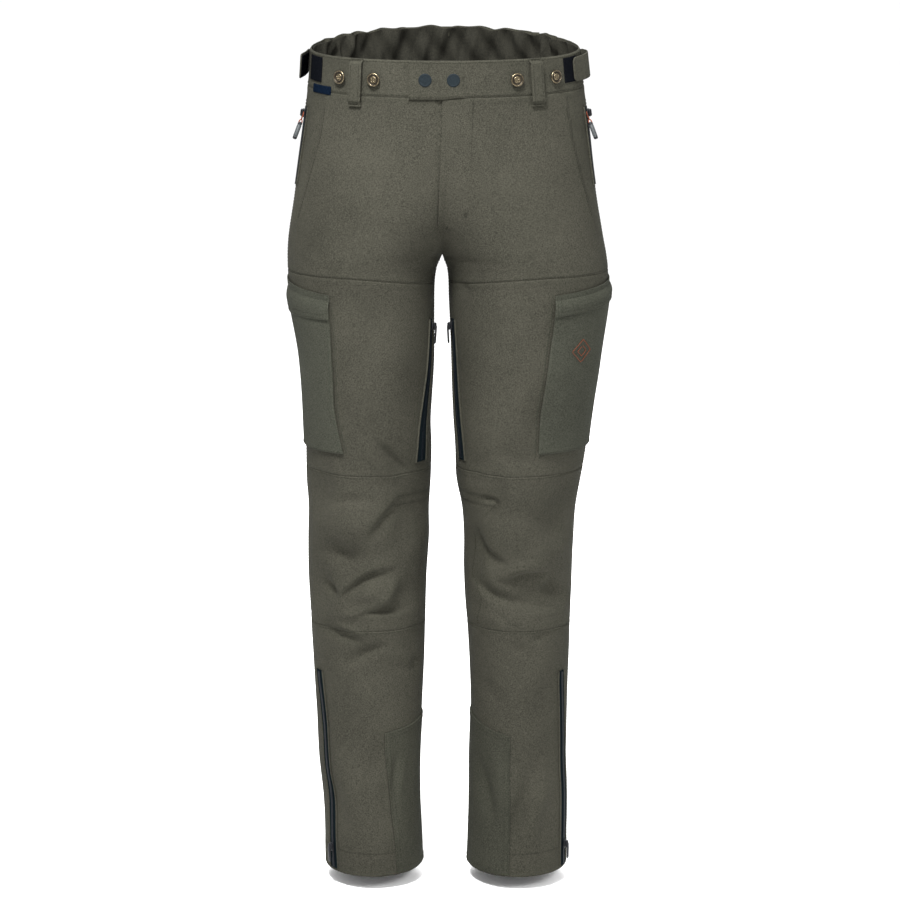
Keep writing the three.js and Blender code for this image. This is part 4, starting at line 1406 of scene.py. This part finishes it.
def zips(side, hand):
    """Each zip's tape and slider: how far the slider rests from the top, and the length of its tab."""
    hem_length = HEM_ZIP[side][0][1] - HEM_ZIP[side][1][1]
    rows = (("hand", HAND_ZIP, "waist", f"hand_zip_slider_{hand}", 8, 0),
            ("vent", VENT_ZIP, f"thigh_{hand}", f"vent_slider_{hand}", 9, 24),
            ("hem", HEM_ZIP, f"shin_{hand}", f"hem_slider_{hand}", hem_length - 30, 22))
    for kind, ends, body, _, _, _ in rows:
        zipper(f"{kind}_zip_{hand}", side, ends[side], body, f"{kind}_zip_tape_{hand}")
    for kind, ends, _, slider_body, step, tab in rows:
        hardware(f"{kind}_slider_{hand}", slider_shape(tab), slider_seat(side, ends[side], step), BLACK,
                 slider_body, "zip_metal", f"{kind}_zip_slider_{hand}")
    hand_puller(side, hand)


def slider_seat(side, ends, step):
    (t0, z0, _), (t1, z1, _) = ends
    share = step / abs(z0 - z1)
    top = on_cloth(side, np.array([float(t0)]), np.array([float(z0)]))[0][0]
    bottom = on_cloth(side, np.array([float(t1)]), np.array([float(z1)]))[0][0]
    return seat_on(side, lerp(t0, t1, share), lerp(z0, z1, share), SLIDER_LIFT, top - bottom)


# ---- kick patches, back flap and marks -----------------------------------------------------------
# Front edge: level, angle. Level of the top edge at the front edge and at the inseam.
KICK_FRONT = {-1: ((-890, 72), (-918, 71), (-964, 66), (-1030, 62), (-1092, 60)),
              1: ((-892, 79), (-1092, 80))}
KICK_BACK_T = -52.0
KICK_TOP = {-1: (-893, -882), 1: (-897, -878)}


def kick_patch(side, hand):
    rows = KICK_FRONT[side]

    def corner(U, V):
        front, inseam = KICK_TOP[side]
        z = lerp(lerp(inseam, front, np.clip(U * 1.8 - 0.8, 0, 1)), HEM_Z + 1.5, V)
        return lerp(KICK_BACK_T, np.interp(-z, [-q[0] for q in rows], [q[1] for q in rows]), U), z

    width = width_at(side, KICK_BACK_T, 75, -980)
    patch(f"kick_guard_{hand}", side, corner, (width, 208), f"shin_{hand}", [f"kick_patch_{hand}"], PANEL,
          "panel_fabric", lift=0.3, thick=1.6, rows=(2.2, 7.5), pitch=FINE + 0.6)


def back_flap():
    def corner(U, V):
        return lerp(206, 254, U), lerp(-84, -128 - 5 * (0.5 - np.abs(U - 0.5)), V)

    width = width_at(-1, 206, 254, -100)
    obj = patch_free("back_flap", -1, corner, (width, 46), SHELL, lambda U, V: 1.2 * smoothstep(0.1, 0.6, V))
    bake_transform(obj)
    cloth_piece(obj, None, -1, ["back_pocket_flap"], "shell_fabric")


MARK_AT = (132.5, -379.0)          # angle and level
MARK_LIFT = 6.8                    # the bellows pocket's face above the leg


def pocket_mark():
    """A plain sewn diamond on the wearer's left thigh pocket."""
    paths = []
    t0, z0 = MARK_AT
    for reach in (15.0, 7.0):
        u = np.concatenate([np.linspace(k, k + 1, 9)[:-1] for k in range(4)] + [[4.0]])
        corner = np.array([(0, 1), (1, 0), (0, -1), (-1, 0), (0, 1)], float) * reach
        x = np.interp(u, range(5), corner[:, 0])
        z = np.interp(u, range(5), corner[:, 1])
        paths.append(on_cloth(1, turn_by(1, np.full_like(z, t0), z0 + z, x), z0 + z, MARK_LIFT))
    points, faces = dashes(paths, length=2.6, gap=0.5, radius=0.45)
    obj = plain_mesh("pocket_mark", points, faces, ORANGE)
    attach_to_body(obj, "thigh_left")


def sewn_thread():
    for (zone, side), paths in STITCHES.items():
        points, faces = dashes(paths)
        obj = plain_mesh(f"stitches_{zone}_{HAND[side]}", points, faces, THREAD)
        attach(obj, zone, side)


def cad_inside():
    """Pieces that stay as the CAD made them, under better materials."""
    for node, material in (("fly_zip_tape", TAPE), ("fly_shield", LINING_AND_PAINTED_SHADE), ("fly_slider", BLACK),
                           ("hand_pocket_bag_right", LINING_AND_PAINTED_SHADE), ("hand_pocket_bag_left", LINING_AND_PAINTED_SHADE)):
        mesh = bpy.data.objects[node].data
        mesh.materials.clear()
        mesh.materials.append(material)


waistband()
belt_loops()
buttons_and_snaps()
adjusters()
waist_label()
hanger_loop()
fly_lap()
fly_stitches()
back_flap()
pocket_mark()
for side, hand in SIDES:
    leg_panels(side, hand)
    leg_stitches(side, hand)
    cargo(side, hand)
    zips(side, hand)
    kick_patch(side, hand)
sewn_thread()
cad_inside()


# ---- stage, lights, camera -----------------------------------------------------------------------
def studio():
    """A pale floor under a white sky, with a key, a fill and a back light."""
    scene = bpy.context.scene
    world = bpy.data.worlds.new("studio")
    world.use_nodes = True
    world.node_tree.nodes["Background"].inputs["Color"].default_value = (1, 1, 1, 1)
    world.node_tree.nodes["Background"].inputs["Strength"].default_value = 1.08
    scene.world = world
    scene.view_settings.view_transform = "Standard"
    bpy.ops.mesh.primitive_plane_add(size=60, location=(0, 0, HEM_Z * MM - 0.02))
    floor = bpy.context.object
    floor.name = "floor"
    floor.data.materials.append(Nodes("pale floor", Base_Color=(0.95, 0.95, 0.95, 1), Roughness=0.9).material)
    for name, place, size, power in (
        ("key", (-0.4, -1.35, 1.6), 0.6, 200), ("fill", (1.8, -2.2, 1.2), 1.0, 60),
        ("back", (0.2, 3.0, 2.0), 2.0, 150)):
        light = bpy.data.lights.new(name, "AREA")
        light.size, light.energy = size, power
        obj = bpy.data.objects.new(name, light)
        obj.location = place
        obj.rotation_euler = (Vector((0, 0, -0.5)) - Vector(place)).to_track_quat("-Z", "Y").to_euler()
        scene.collection.objects.link(obj)


LENS = 111.8
CAMERA_AT = (0.006, -3.6, 0.22)
LOOKING_DOWN = 11.7                # degrees


def camera():
    """The photograph's viewing angle."""
    data = bpy.data.cameras.new("camera")
    data.lens, data.sensor_width = LENS, 36
    obj = bpy.data.objects.new("camera", data)
    obj.location = CAMERA_AT
    obj.rotation_euler = (math.radians(90 - LOOKING_DOWN), 0, 0)
    bpy.context.scene.collection.objects.link(obj)
    bpy.context.scene.camera = obj


studio()
camera()
